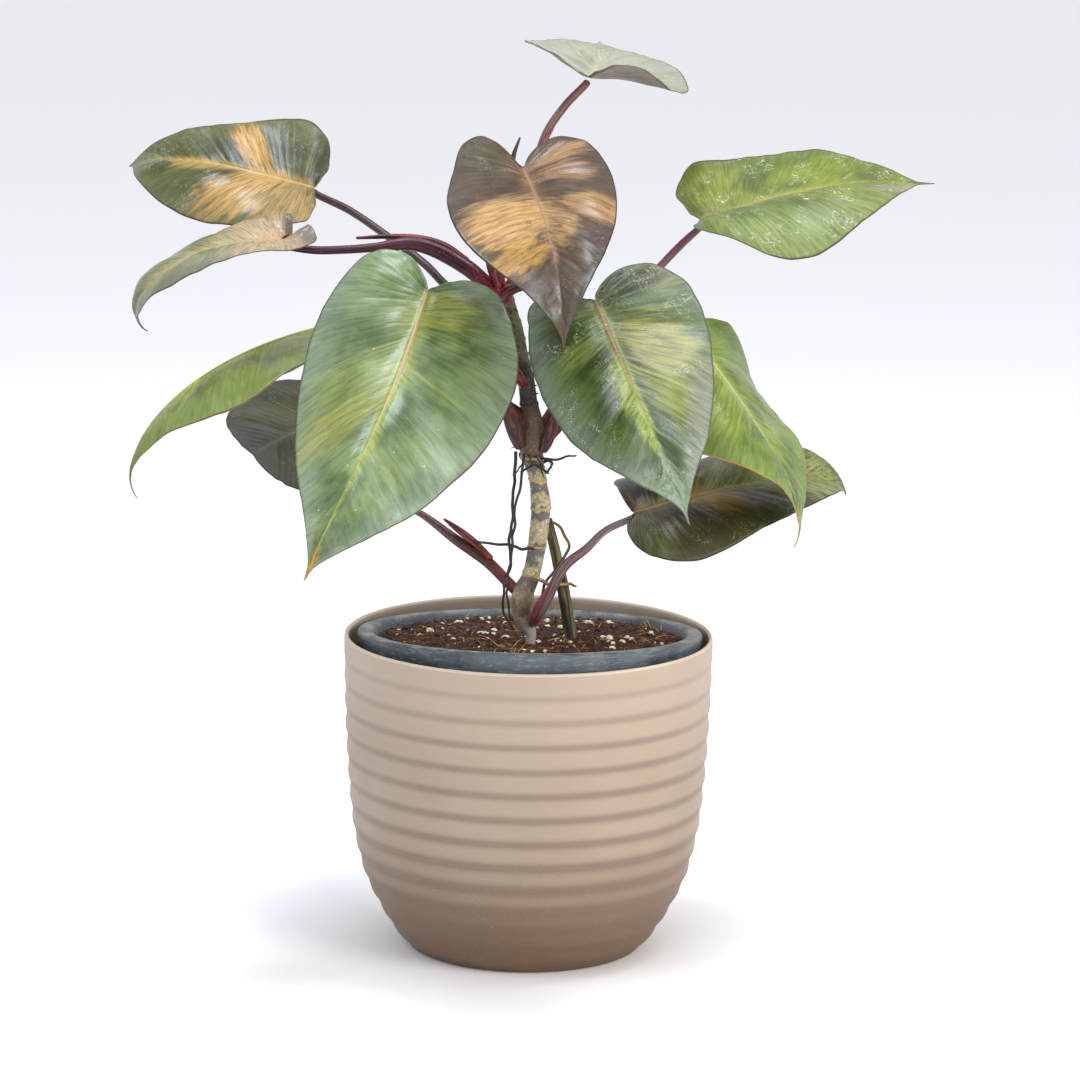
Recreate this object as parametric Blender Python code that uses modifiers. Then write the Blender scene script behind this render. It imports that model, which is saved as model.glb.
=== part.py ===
# Potted philodendron: a climbing aroid with eleven heart-shaped leaves, in a grow pot that stands in a
# ribbed cover pot.
# Frame: origin at the centre of the cover pot's base face, +Z up, the plant's front towards -Y. Metres.
import math

import bmesh
import bpy
import numpy as np
from mathutils import Matrix, Vector

# ---------------------------------------------------------------- driving dimensions
MM = 0.001
FIT_GAP = 0.3 * MM            # left between touching pieces

COVER_HEIGHT = 190 * MM
COVER_RIM_RADIUS = 110 * MM
COVER_WALL = 3.0 * MM
COVER_RIB_PITCH = 14.7 * MM   # measured along the wall
COVER_RIB_COUNT = 12
COVER_RIB_DEPTH = 1.1 * MM
COVER_FIRST_GROOVE = 17.6 * MM  # below the rim, along the wall
COVER_LIP_ROUND = 1.2 * MM    # height of the lip's rounding
COVER_LIP_FLAT = 0.7 * MM     # how far the lip's flat top is set in
COVER_FLOOR = 3.5 * MM
# mean outer radius of the cover pot at shares of its height
COVER_FORM = ((0.0, 69.9), (0.04, 77.0), (0.09, 83.4), (0.16, 90.9), (0.25, 98.1),
              (0.4, 104.4), (0.6, 107.8), (0.8, 109.5), (1.0, 110.0))

NURSERY_HEIGHT = 183 * MM
NURSERY_RIM_RADIUS = 103 * MM
NURSERY_RIM_DEPTH = 16 * MM
NURSERY_RIM_SHELF = 9 * MM    # how far the rim stands out past the wall
NURSERY_BASE_RADIUS = 60 * MM
NURSERY_WALL = 1.4 * MM
NURSERY_RIM_ROUND = 1.6 * MM
NURSERY_TILT = math.radians(4.8)   # the front of the rim stands high
NURSERY_RIM_CENTRE = Vector((0.8 * MM, 0, 191.5 * MM))
DRAIN_HOLE_COUNT = 8
DRAIN_HOLE_RADIUS = 6 * MM
DRAIN_HOLE_CIRCLE = 45 * MM

SOIL_BELOW_RIM = 5 * MM       # at the pot wall
SOIL_HEAP = 7 * MM            # extra height towards the back right
SOIL_REACH = 90 * MM          # where the heap runs out
SOIL_LUMP = 0.8 * MM
SOIL_EDGE_ROUND = 1.2 * MM
POCKET_DEPTH = 22 * MM        # how deep the stems go into the soil
POCKET_CLEARANCE = 1.2        # in the routes' millimetres

BLADE_THICKNESS = 0.8 * MM
BLADE_COLUMNS = 8
BLADE_ROWS = 11
VEIN_SWEEP = 2.5              # how strongly the cross veins lean towards the tip

# half outline of a flat blade: share of the width, share of the length, from the sinus round the lobe to
# the tip
HEART = ((0, 0), (0.055, -0.075), (0.17, -0.135), (0.31, -0.115), (0.42, -0.01), (0.485, 0.13),
         (0.495, 0.28), (0.44, 0.47), (0.335, 0.65), (0.2, 0.81), (0.085, 0.915), (0.03, 0.965), (0, 1))
SWELL_STATIONS = (-0.12, 0.1, 0.35, 0.6, 0.85)

# Each blade: base point and size in millimetres, angles in degrees, pairs are (left, right) from the stalk.
# heading 0 is +X and 90 is +Y; pitch is above the horizon; droop bends the midrib down, hook only its tip;
# fold lifts a half from the midrib and curl bends it on towards its margin; lobe is the lobe's length and
# swell the width at the five stations, both in per cent of the plain heart; ripple is the margin's wave.
LEAVES = (
    dict(name="leaf_01", base=(-132, 50, 449), heading=179, pitch=14, roll=-35,
         droop=50, hook=16, twist=-11, sweep=22, length=129, width=91,
         fold=(13, 2), curl=(-19, -7), lobe=(26, 34), lobe_dip=(-16, -25),
         ripple=((4, 8), (3, 2)), swell=((6, 20, 0, 13, 11), (2, 20, -2, -8, -4))),
    dict(name="leaf_02", base=(-146, -35, 429), heading=-169, pitch=-1, roll=-7,
         droop=78, hook=48, twist=-2, sweep=15, length=115, width=76,
         fold=(17, 18), curl=(-41, -46), lobe=(116, 53), lobe_dip=(13, -1),
         ripple=((5, -2), (6, 6)), swell=((1, -15, 9, -7, 3), (8, -16, 3, 15, 5))),
    dict(name="leaf_03", base=(-117, -20, 378), heading=-146, pitch=-8, roll=15,
         droop=44, hook=33, twist=7, sweep=6, length=167, width=107,
         fold=(-24, -35), curl=(-8, -20), lobe=(106, 80), lobe_dip=(-10, -10),
         ripple=((7, -3), (0, 0)), swell=((1, 1, -9, 16, -17), (0, 0, 0, 0, 0))),
    dict(name="leaf_04", base=(-60, -88, 408), heading=-105, pitch=-40, roll=-8,
         droop=7, hook=31, twist=24, sweep=14, length=199, width=132,
         fold=(-13, 1), curl=(-21, -31), lobe=(197, 99), lobe_dip=(-36, 7),
         ripple=((5, -1), (3, 0)), swell=((-17, -2, 4, 5, 20), (5, 0, -2, 3, -15))),
    dict(name="leaf_05", base=(-113, 50, 312), heading=-131, pitch=-5, roll=-37,
         droop=-30, hook=-11, twist=2, sweep=-25, length=124, width=86,
         fold=(-15, -6), curl=(-30, -9), lobe=(96, 98), lobe_dip=(-10, -10),
         ripple=((0, 0), (1, -1)), swell=((-1, -2, -2, -4, 0), (0, 7, -7, 6, 5))),
    dict(name="leaf_06", base=(-7, -60, 475), heading=-74, pitch=-22, roll=9,
         droop=14, hook=29, twist=3, sweep=12, length=156, width=100,
         fold=(32, 21), curl=(-49, -28), lobe=(69, 155), lobe_dip=(-5, 2),
         ripple=((2, 3), (0, -4)), swell=((-7, -8, -9, -10, -21), (-5, 0, 11, 25, -9))),
    dict(name="leaf_07", base=(30, 20, 520), heading=85, pitch=-6, roll=12,
         droop=-20, hook=3, twist=-6, sweep=-7, length=157, width=105,
         fold=(26, 17), curl=(-22, -16), lobe=(123, 118), lobe_dip=(3, 16),
         ripple=((0, 0), (-3, -3)), swell=((-6, -14, -12, -5, -1), (4, 16, 7, 2, 1))),
    dict(name="leaf_08", base=(99, 30, 436), heading=13, pitch=17, roll=-2,
         droop=26, hook=-4, twist=31, sweep=-18, length=147, width=105,
         fold=(6, 16), curl=(13, -55), lobe=(10, 51), lobe_dip=(-8, -12),
         ripple=((2, 1), (-5, 8)), swell=((-7, 34, -6, 8, -8), (3, 21, 8, 8, -2))),
    dict(name="leaf_09", base=(35, -82, 403), heading=-62, pitch=-43, roll=-7,
         droop=-12, hook=12, twist=-14, sweep=7, length=161, width=106,
         fold=(21, -20), curl=(0, -43), lobe=(81, 101), lobe_dip=(-1, -31),
         ripple=((2, 3), (2, 0)), swell=((22, 9, 4, -2, -31), (-13, -5, -1, 5, 11))),
    dict(name="leaf_10", base=(93, -30, 375), heading=-32, pitch=-45, roll=-10,
         droop=15, hook=35, twist=-20, sweep=0, length=134, width=96,
         fold=(13, 4), curl=(1, -80), lobe=(58, 99), lobe_dip=(-12, -10),
         ripple=((-8, 4), (-1, 7)), swell=((-2, 13, -14, 15, 1), (0, -1, 13, 14, -5))),
    dict(name="leaf_11", base=(61, -35, 271), heading=10, pitch=15, roll=18,
         droop=31, hook=47, twist=18, sweep=-16, length=146, width=100,
         fold=(17, 20), curl=(-53, -40), lobe=(15, 51), lobe_dip=(-15, -19),
         ripple=((-1, 5), (-6, -2)), swell=((2, 26, -3, -2, 12), (16, 12, 1, 3, -4))),
)

# Stalks, stems and roots: route points with the radius there, all in millimetres, from the lower end up.
STEM = ((1, -30, 166, 2.6), (1, -30, 188, 2.8), (1, -30, 197, 3.4), (-3, -30, 205, 5.6), (-4, -30, 214, 6.2),
        (-3, -30, 222, 6.4), (1, -30, 232, 5.2), (4, -30, 249, 5.3), (6, -30, 272, 5.8), (4, -30, 289, 5.2),
        (1, -30, 301, 6.0), (0, -30, 311, 8.2), (0, -30, 322, 6.6), (-2, -30, 336, 5.0), (-4, -30, 349, 4.9),
        (-7, -30, 361, 4.6), (-10, -30, 378, 4.2), (-15, -30, 394, 4.0), (-18, -30, 404, 5.2))
STUMP = ((28, -12, 172, 3.5), (26, -12, 186, 3.6), (20, -13, 220, 3.6), (15, -14, 243, 3.2), (10, -15, 263, 2.8))
BUD = ((-16, -17, 410, 2.6), (-15, -10, 434, 3.2), (-14, -5, 462, 2.4), (-13, -4, 475, 1.5), (-9, -2, 487, 0.5))
STALKS = (
    ("petiole_01", ((-8, -21.5, 366, 3.0), (-30, -15, 384, 2.8), (-51, 0, 398, 2.6), (-65, 10, 410, 2.5),
                    (-87, 30, 423, 2.4), (-110, 45, 436, 2.3), (-129, 51, 444, 2.2))),
    ("petiole_02", ((-27, -30, 404, 4.4), (-39, -27, 413, 4.8), (-56, -24, 422, 4.5), (-72, -24, 426, 4.0),
                    (-92, -27, 424, 2.8), (-110, -31, 423, 2.5), (-127, -35, 423, 2.4), (-143, -35, 425, 2.2))),
    ("petiole_03", ((-9, -30, 329, 3.4), (-36, -26, 345, 2.9), (-66, -22, 360, 2.6), (-95, -20, 370, 2.4),
                    (-114, -19, 374, 2.2))),
    ("petiole_04", ((-8, -39, 351, 3.2), (-20, -47, 368, 2.9), (-35, -60, 387, 2.7), (-47, -73, 398, 2.5),
                    (-55.5, -83, 402, 2.3))),
    ("petiole_05", ((-12, -27, 226, 3.3), (-26, -20, 238, 3.4), (-45, -10, 249, 3.0), (-66, 5, 261, 2.1),
                    (-88, 28, 265, 1.9), (-105, 48, 276, 1.8), (-115, 56, 294, 1.8), (-116, 54, 305, 1.8))),
    ("petiole_06", ((-20, -34, 411, 3.0), (-21, -27, 424, 2.8), (-19, -22, 440, 2.6), (-15, -28, 456, 2.5),
                    (-11, -42, 467, 2.4), (-8, -56, 472, 2.2))),
    ("petiole_07", ((-10, -24, 410, 2.9), (-7, -15, 428, 2.8), (-2, -8, 457, 2.6), (5, 0, 486, 2.5),
                    (16, 9, 503, 2.4), (28, 18, 515, 2.2))),
    ("petiole_08", ((10, -26, 326, 3.2), (25, -10, 351, 2.7), (48, 5, 380, 2.4), (72, 18, 406, 2.3),
                    (87, 26, 421, 2.3), (97, 29, 430, 2.1))),
    ("petiole_09", ((-14, -38, 401, 3.0), (-5, -43, 405, 2.8), (8, -55, 404, 2.6), (21, -68, 399, 2.4),
                    (32.5, -78, 398, 2.2))),
    ("petiole_10", ((11, -24, 314, 3.2), (34, -20, 338, 2.8), (63, -21, 359, 2.5), (82, -26, 368, 2.3),
                    (91, -30, 370, 2.1))),
    ("petiole_11", ((5, -42, 211, 3.2), (11, -45, 222, 3.2), (20, -47, 240, 2.9), (33, -45, 251, 2.5),
                    (44, -41, 261, 2.2), (58, -36, 267, 2.0))),
)
SHEATHS = (
    ("old_sheath_left", ((-9, -37, 318, 2.6), (-11, -42, 327, 3.6), (-15, -45, 341, 1.6))),
    ("old_sheath_right", ((9, -36, 315, 2.4), (11, -37, 325, 3.0), (15, -38, 334, 1.4))),
)
ROOTS = (
    ("root_hanging_long", ((-9, -44, 202, 0.7), (-15, -44, 214, 0.8), (-15, -44, 229, 0.8), (-12, -43, 240, 0.9),
                           (-12, -43, 251, 0.9), (-10, -43, 280, 0.9), (-9, -42, 308, 1.0))),
    ("root_hanging_short", ((-11, -48, 209, 0.6), (-13, -49, 226, 0.7), (-11, -49, 247, 0.8), (-9, -48, 268, 0.8),
                            (-6, -46, 290, 0.8), (-4, -42, 307, 0.8))),
    ("root_loop", ((7, -20, 213, 0.8), (10, -24, 226, 0.9), (23, -25, 246, 0.9), (20, -24, 256, 0.9),
                   (13, -20, 262, 0.8))),
    ("root_wrap", ((5, -38, 231, 1.2), (12, -36, 227, 1.1), (22, -22, 225, 1.0), (28, -10, 221, 0.8))),
    ("root_side_low", ((0, -37, 249, 1.0), (-9, -40, 251, 0.9), (-29, -36, 252, 0.7), (-40, -30, 256, 0.4))),
    ("root_side_high", ((9, -34, 302, 0.8), (17, -36, 303, 0.7), (27, -38, 305, 0.5))),
)
CURL_RADIUS = 9.6 * MM        # of the curly roots round the stem, below its crowded node
CURL_HEIGHTS = (296.5 * MM, 299 * MM)
CURL_ROOT_RADIUS = 0.7 * MM
CURL_POINTS = 20
CURL_START = math.radians(-150)
CURL_TURN = math.radians(285)
CURL_WAVE = 1.2 * MM
CURL_CENTRE = (2, -30)        # in the routes' millimetres

# ---------------------------------------------------------------- clean start, collections and materials
for thing in list(bpy.data.objects):
    bpy.data.objects.remove(thing)

PLANT = bpy.data.collections.new("potted_philodendron")
CUTTERS = bpy.data.collections.new("cutters")
for group in (PLANT, CUTTERS):
    bpy.context.scene.collection.children.link(group)


def material(name, colour, roughness):
    finish = bpy.data.materials.new(name)
    finish.use_nodes = True
    shader = finish.node_tree.nodes["Principled BSDF"]
    shader.inputs["Base Color"].default_value = (*colour, 1)
    shader.inputs["Roughness"].default_value = roughness
    shader.inputs["Metallic"].default_value = 0
    finish.diffuse_color = (*colour, 1)
    return finish


COVER_PLASTIC = material("taupe_plastic", (0.48, 0.40, 0.32), 0.55)
NURSERY_PLASTIC = material("slate_plastic", (0.14, 0.17, 0.19), 0.5)
SOIL = material("potting_soil", (0.07, 0.035, 0.018), 0.95)
GREEN_BLADE = material("green_blade", (0.12, 0.2, 0.06), 0.35)
BRONZE_BLADE = material("bronze_blade", (0.1, 0.07, 0.035), 0.35)
STALK_SKIN = material("dark_red_stalk", (0.12, 0.03, 0.04), 0.4)
STEM_BARK = material("stem_bark", (0.3, 0.24, 0.15), 0.6)
ROOT_SKIN = material("root_skin", (0.08, 0.05, 0.03), 0.7)
BRONZE_LEAVES = ("leaf_01", "leaf_05", "leaf_06", "leaf_11")


def add_object(name, data, finish, group=PLANT):
    thing = bpy.data.objects.new(name, data)
    data.materials.append(finish)
    group.objects.link(thing)
    return thing


# ---------------------------------------------------------------- smooth lines through a few points
def smooth_line(points, steps):
    """Catmull-Rom curve through the points, with the given number of steps between two of them."""
    rows = [np.array(p, float) for p in points]
    rows = [2 * rows[0] - rows[1], *rows, 2 * rows[-1] - rows[-2]]
    line = []
    for a, b, c, d in zip(rows, rows[1:], rows[2:], rows[3:]):
        for t in np.arange(steps) / steps:
            line.append(0.5 * (2 * b + (c - a) * t + (2 * a - 5 * b + 4 * c - d) * t ** 2
                               + (3 * b - a - 3 * c + d) * t ** 3))
    line.append(rows[-2])
    return np.array(line)


def add_tube(name, route, finish, steps=2, sides=2):
    """A tapered round stalk: route points hold x, y, z and the radius, in millimetres."""
    curve = bpy.data.curves.new(name, "CURVE")
    curve.dimensions = "3D"
    curve.bevel_depth = 1.0
    curve.bevel_resolution = sides
    curve.use_fill_caps = True
    line = smooth_line(route, steps) * MM
    spline = curve.splines.new("POLY")
    spline.points.add(len(line) - 1)
    for point, (x, y, z, radius) in zip(spline.points, line):
        point.co = (x, y, z, 1)
        point.radius = radius
    return add_object(name, curve, finish)


# ---------------------------------------------------------------- pots and soil
def add_turned(name, profile, steps, finish, group=PLANT):
    """A closed body turned about Z from an (r, z) profile that starts and ends on the axis, top end first."""
    mesh = bpy.data.meshes.new(name)
    shape = bmesh.new()
    ring = [shape.verts.new((r, 0, z)) for r, z in profile]
    for a, b in zip(ring, ring[1:]):
        shape.edges.new((a, b))
    shape.to_mesh(mesh)
    shape.free()
    thing = add_object(name, mesh, finish, group)
    screw = thing.modifiers.new("turn", "SCREW")
    screw.steps = steps
    screw.render_steps = steps
    screw.use_merge_vertices = True
    screw.merge_threshold = 0.00005
    screw.use_normal_calculate = True
    return thing


def cover_radius(z):
    shares, radii = zip(*COVER_FORM)
    line = smooth_line(list(zip(shares, radii)), 8)
    return float(np.interp(z / COVER_HEIGHT, line[:, 0], line[:, 1])) * MM


def cover_profile():
    # walk up the wall and note the length along it
    heights = np.linspace(0, COVER_HEIGHT, 200)
    radii = np.array([cover_radius(z) for z in heights])
    along = np.concatenate(([0], np.cumsum(np.hypot(np.diff(radii), np.diff(heights)))))
    outer = [(COVER_RIM_RADIUS - COVER_LIP_FLAT, COVER_HEIGHT), (COVER_RIM_RADIUS, COVER_HEIGHT - COVER_LIP_ROUND)]
    for rib in range(COVER_RIB_COUNT):
        groove = along[-1] - COVER_FIRST_GROOVE - rib * COVER_RIB_PITCH
        crest = max(groove - COVER_RIB_PITCH / 2, 0.5 * MM)
        for place, depth in ((groove, COVER_RIB_DEPTH), (crest, 0)):
            z = float(np.interp(place, along, heights))
            outer.append((cover_radius(z) - depth, z))
    outer.append((cover_radius(0) - 2 * MM, 0))
    inner = []
    for share in (0.022, 0.05, 0.1, 0.2, 0.32, 0.5, 0.75, 0.97):
        z = share * COVER_HEIGHT
        inner.append((cover_radius(z) - COVER_WALL - COVER_RIB_DEPTH, z))
    inner.append((COVER_RIM_RADIUS - COVER_WALL, COVER_HEIGHT - COVER_LIP_ROUND))
    inner.append((COVER_RIM_RADIUS - COVER_WALL + COVER_LIP_FLAT, COVER_HEIGHT))
    floor = [(0, COVER_FLOOR), (inner[0][0] - 6 * MM, COVER_FLOOR)]
    # from the inside floor's centre over the lip to the underside's centre
    return floor + inner + outer + [(0, 0)]


def add_cover_pot():
    return add_turned("cover_pot", cover_profile(), 44, COVER_PLASTIC)


def nursery_wall_radius(height):
    """Outer radius of the grow pot's plain wall at a height above its own base."""
    top = NURSERY_RIM_RADIUS - NURSERY_RIM_SHELF
    return NURSERY_BASE_RADIUS + (top - NURSERY_BASE_RADIUS) * height / NURSERY_HEIGHT


def nursery_place():
    """From the grow pot's own frame, with its base centre at the origin, to its tilted seat in the cover pot."""
    turn = Matrix.Rotation(-NURSERY_TILT, 4, "X")
    return Matrix.Translation(NURSERY_RIM_CENTRE) @ turn @ Matrix.Translation((0, 0, -NURSERY_HEIGHT))


def add_nursery_pot():
    top = NURSERY_HEIGHT
    under_rim = top - NURSERY_RIM_DEPTH
    wall_top = nursery_wall_radius(top)
    wall_low = nursery_wall_radius(under_rim)
    profile = [(0, NURSERY_WALL), (NURSERY_BASE_RADIUS - NURSERY_WALL, NURSERY_WALL),
               (wall_low - NURSERY_WALL, under_rim),
               (wall_top - NURSERY_WALL, top - 2 * MM), (wall_top + 0.6 * MM, top),
               (NURSERY_RIM_RADIUS - NURSERY_RIM_ROUND, top),
               (NURSERY_RIM_RADIUS, top - NURSERY_RIM_ROUND),
               (NURSERY_RIM_RADIUS - 1 * MM, under_rim), (NURSERY_RIM_RADIUS - 2.4 * MM, under_rim),
               (NURSERY_RIM_RADIUS - 1.9 * MM, top - NURSERY_WALL),
               (wall_top + 0.8 * MM, top - NURSERY_WALL),
               (wall_low, under_rim), (NURSERY_BASE_RADIUS, 0), (0, 0)]
    pot = add_turned("nursery_pot", profile, 40, NURSERY_PLASTIC)
    pot.matrix_world = nursery_place()
    cutter_mesh = bpy.data.meshes.new("drain_cutters")
    shape = bmesh.new()
    for hole in range(DRAIN_HOLE_COUNT):
        angle = 2 * math.pi * hole / DRAIN_HOLE_COUNT
        centre = (DRAIN_HOLE_CIRCLE * math.cos(angle), DRAIN_HOLE_CIRCLE * math.sin(angle), NURSERY_WALL / 2)
        bmesh.ops.create_cone(shape, cap_ends=True, segments=10, radius1=DRAIN_HOLE_RADIUS,
                              radius2=DRAIN_HOLE_RADIUS, depth=NURSERY_WALL * 4,
                              matrix=Matrix.Translation(centre))
    shape.to_mesh(cutter_mesh)
    shape.free()
    cutter = add_object("drain_cutters", cutter_mesh, NURSERY_PLASTIC, CUTTERS)
    cutter.matrix_world = nursery_place()
    hide_cutter(cutter)
    cut(pot, cutter)


def hide_cutter(cutter):
    cutter.hide_render = True
    cutter.display_type = "WIRE"


def cut(thing, cutter):
    step = thing.modifiers.new("cut_" + cutter.name, "BOOLEAN")
    step.operation = "DIFFERENCE"
    step.solver = "EXACT"
    step.object = cutter


def soil_top(x, y):
    """Height of the soil above its edge: a low heap that rises towards the back right."""
    reach = math.hypot(x, y) / SOIL_REACH
    slope = (0.45 * x + 0.9 * y) / SOIL_REACH
    lumps = math.sin(x * 150 + 1) * math.cos(y * 130) * SOIL_LUMP
    return SOIL_HEAP * (0.35 + 0.55 * slope) * max(1 - reach ** 3, 0) + lumps * max(1 - reach, 0)


def add_potting_mix():
    """The filled soil, a turned body whose top is then heaped, with pockets for the stem and the stump."""
    top = NURSERY_HEIGHT - SOIL_BELOW_RIM
    clear = NURSERY_WALL + FIT_GAP
    edge = nursery_wall_radius(top) - clear - SOIL_EDGE_ROUND
    mesh = bpy.data.meshes.new("potting_mix")
    shape = bmesh.new()
    rings = [(edge * share, top) for share in (0, 0.3, 0.55, 0.8, 1)]
    for share in (0.6, 0.25):
        height = share * NURSERY_HEIGHT
        rings.append((nursery_wall_radius(height) - clear - 0.6 * MM, height))
    rings += [(NURSERY_BASE_RADIUS - clear - 1.5 * MM, clear + 0.5 * MM), (0, clear + 0.5 * MM)]
    line = [shape.verts.new((r, 0, z)) for r, z in rings]
    edges = [shape.edges.new(pair) for pair in zip(line, line[1:])]
    bmesh.ops.spin(shape, geom=line + edges, axis=(0, 0, 1), cent=(0, 0, 0), steps=36, angle=2 * math.pi)
    bmesh.ops.remove_doubles(shape, verts=shape.verts, dist=0.00005)
    bmesh.ops.recalc_face_normals(shape, faces=shape.faces)
    for vert in shape.verts:
        if vert.co.z > top - 0.1 * MM:
            vert.co.z += soil_top(vert.co.x, vert.co.y)
    shape.transform(nursery_place())
    shape.to_mesh(mesh)
    shape.free()
    soil = add_object("potting_mix", mesh, SOIL)
    for name, route in (("stem_pocket", STEM), ("stump_pocket", STUMP)):
        foot = Vector(route[0][:3]) * MM
        radius = (max(route[0][3], route[1][3]) + POCKET_CLEARANCE) * MM
        pocket_mesh = bpy.data.meshes.new(name)
        pocket = bmesh.new()
        lean = (Vector(route[1][:3]) * MM - foot).normalized()
        middle = foot + lean * (POCKET_DEPTH - FIT_GAP)
        seat = Matrix.Translation(middle) @ lean.to_track_quat("Z", "Y").to_matrix().to_4x4()
        bmesh.ops.create_cone(pocket, cap_ends=True, segments=12, radius1=radius, radius2=radius,
                              depth=2 * POCKET_DEPTH, matrix=seat)
        pocket.to_mesh(pocket_mesh)
        pocket.free()
        cutter = add_object(name, pocket_mesh, SOIL, CUTTERS)
        hide_cutter(cutter)
        cut(soil, cutter)


# ---------------------------------------------------------------- leaf blades
def blade_axes(leaf):
    """Heading, upper normal and right-hand side of a blade at its base."""
    heading, pitch, roll = (math.radians(leaf[key]) for key in ("heading", "pitch", "roll"))
    along = Vector((math.cos(heading) * math.cos(pitch), math.sin(heading) * math.cos(pitch), math.sin(pitch)))
    up = Vector((-math.cos(heading) * math.sin(pitch), -math.sin(heading) * math.sin(pitch), math.cos(pitch)))
    up = Matrix.Rotation(roll, 3, along) @ up
    return along, up, along.cross(up)


def midrib(leaf, steps=60):
    """Points and axes along the bent midrib: lists of (point, along, up, right)."""
    along, up, right = blade_axes(leaf)
    length = leaf["length"] * MM
    point = Vector(leaf["base"]) * MM
    stations = []
    previous = None
    for step in range(steps + 1):
        s = step / steps
        bend = -math.radians(leaf["droop"]) * s ** 1.5 - math.radians(leaf["hook"]) * s ** 8
        yaw = math.radians(leaf["sweep"]) * s
        turn = math.radians(leaf["twist"]) * s
        forward = along * math.cos(bend) + up * math.sin(bend)
        normal = up * math.cos(bend) - along * math.sin(bend)
        side = right * math.cos(yaw) - forward * math.sin(yaw)
        forward = forward * math.cos(yaw) + right * math.sin(yaw)
        if previous is not None:
            point = point + (previous + forward) * (length / steps / 2)
        stations.append((point, forward, normal * math.cos(turn) + side * math.sin(turn),
                         side * math.cos(turn) - normal * math.sin(turn)))
        previous = forward
    return stations


def half_outline(leaf, half):
    """Even steps along one half's margin, from the sinus to the tip, as flat (x, y) in metres."""
    points = []
    for x, y in HEART:
        widen = 1 + float(np.interp(y, SWELL_STATIONS, leaf["swell"][half])) / 100
        lengthen = leaf["lobe"][half] / 100 if y < 0 else 1
        points.append((x * widen * leaf["width"] * MM, y * lengthen * leaf["length"] * MM))
    line = smooth_line(points, 12)
    walked = np.concatenate(([0], np.cumsum(np.hypot(*np.diff(line, axis=0).T))))
    places = np.linspace(0, walked[-1], BLADE_ROWS + 1)
    return [(max(float(np.interp(p, walked, line[:, 0])), 0.0), float(np.interp(p, walked, line[:, 1])))
            for p in places]


def bent_point(leaf, stations, half, x, y):
    """Carry a flat point, x out from the midrib and y along it, onto the bent and folded blade."""
    length = leaf["length"] * MM
    half_width = leaf["width"] * MM / 2
    place = min(max(y / length, 0), 1) * (len(stations) - 1)
    low = min(int(place), len(stations) - 2)
    share = place - low
    point, _, up, right = (a.lerp(b, share) for a, b in zip(stations[low], stations[low + 1]))
    if y < 0:
        along, up_base, _ = blade_axes(leaf)
        dip = math.radians(leaf["lobe_dip"][half])
        point = point + (along * math.cos(dip) - up_base * math.sin(dip)) * y
    fold = math.radians(leaf["fold"][half])
    curl = math.radians(leaf["curl"][half]) / half_width
    if abs(curl) < 1e-6:
        curl = 1e-6
    out = (math.sin(fold + curl * x) - math.sin(fold)) / curl
    lift = (math.cos(fold) - math.cos(fold + curl * x)) / curl
    wave = 2 * math.pi * (y / length + 0.1) / 1.1
    sine, cosine = leaf["ripple"][half]
    lift += (x / half_width) ** 2 * MM * (sine * math.sin(wave) + cosine * math.cos(wave))
    return point + right * (out if half else -out) + up * lift


def add_blade(leaf):
    stations = midrib(leaf)
    margins = [half_outline(leaf, 0), half_outline(leaf, 1)]
    mesh = bpy.data.meshes.new(leaf["name"])
    shape = bmesh.new()
    bmesh.ops.create_grid(shape, x_segments=BLADE_COLUMNS, y_segments=BLADE_ROWS, size=1)
    for vert in shape.verts:
        half = 1 if vert.co.x > 0 else 0
        out = abs(vert.co.x)
        row = round((vert.co.y + 1) / 2 * BLADE_ROWS)
        margin_x, margin_y = margins[half][row]
        vein_y = leaf["length"] * MM * (row / BLADE_ROWS) ** VEIN_SWEEP
        vert.co = bent_point(leaf, stations, half, margin_x * out, vein_y * (1 - out) + margin_y * out)
    bmesh.ops.remove_doubles(shape, verts=shape.verts, dist=0.0001)
    shape.to_mesh(mesh)
    shape.free()
    finish = BRONZE_BLADE if leaf["name"] in BRONZE_LEAVES else GREEN_BLADE
    blade = add_object(leaf["name"], mesh, finish)
    skin = blade.modifiers.new("thickness", "SOLIDIFY")
    skin.thickness = BLADE_THICKNESS
    skin.offset = -1


# ---------------------------------------------------------------- curly roots
def curl_route():
    points = []
    for step in range(CURL_POINTS):
        share = step / (CURL_POINTS - 1)
        angle = CURL_START + CURL_TURN * share
        radius = CURL_RADIUS + CURL_WAVE * math.sin(5 * angle)
        height = CURL_HEIGHTS[0] + (CURL_HEIGHTS[1] - CURL_HEIGHTS[0]) * math.sin(3 * angle)
        points.append((CURL_CENTRE[0] + radius * math.cos(angle) / MM, CURL_CENTRE[1] + radius * math.sin(angle) / MM,
                       height / MM, CURL_ROOT_RADIUS / MM))
    return points


# ---------------------------------------------------------------- the whole plant
add_cover_pot()
add_nursery_pot()
add_potting_mix()
add_tube("main_stem", STEM, STEM_BARK, steps=2, sides=3)
add_tube("cut_stump", STUMP, STEM_BARK, steps=2)
add_tube("bud_spike", BUD, STALK_SKIN, steps=2)
for one_leaf in LEAVES:
    add_blade(one_leaf)
for stalk_name, stalk_route in STALKS + SHEATHS:
    add_tube(stalk_name, stalk_route, STALK_SKIN, steps=2)
for root_name, root_route in ROOTS:
    add_tube(root_name, root_route, ROOT_SKIN, steps=2, sides=1)
add_tube("root_curl", curl_route(), ROOT_SKIN, steps=1, sides=1)
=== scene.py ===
import math
import random

import bpy
import numpy as np
from mathutils import Matrix, Vector, noise


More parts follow.
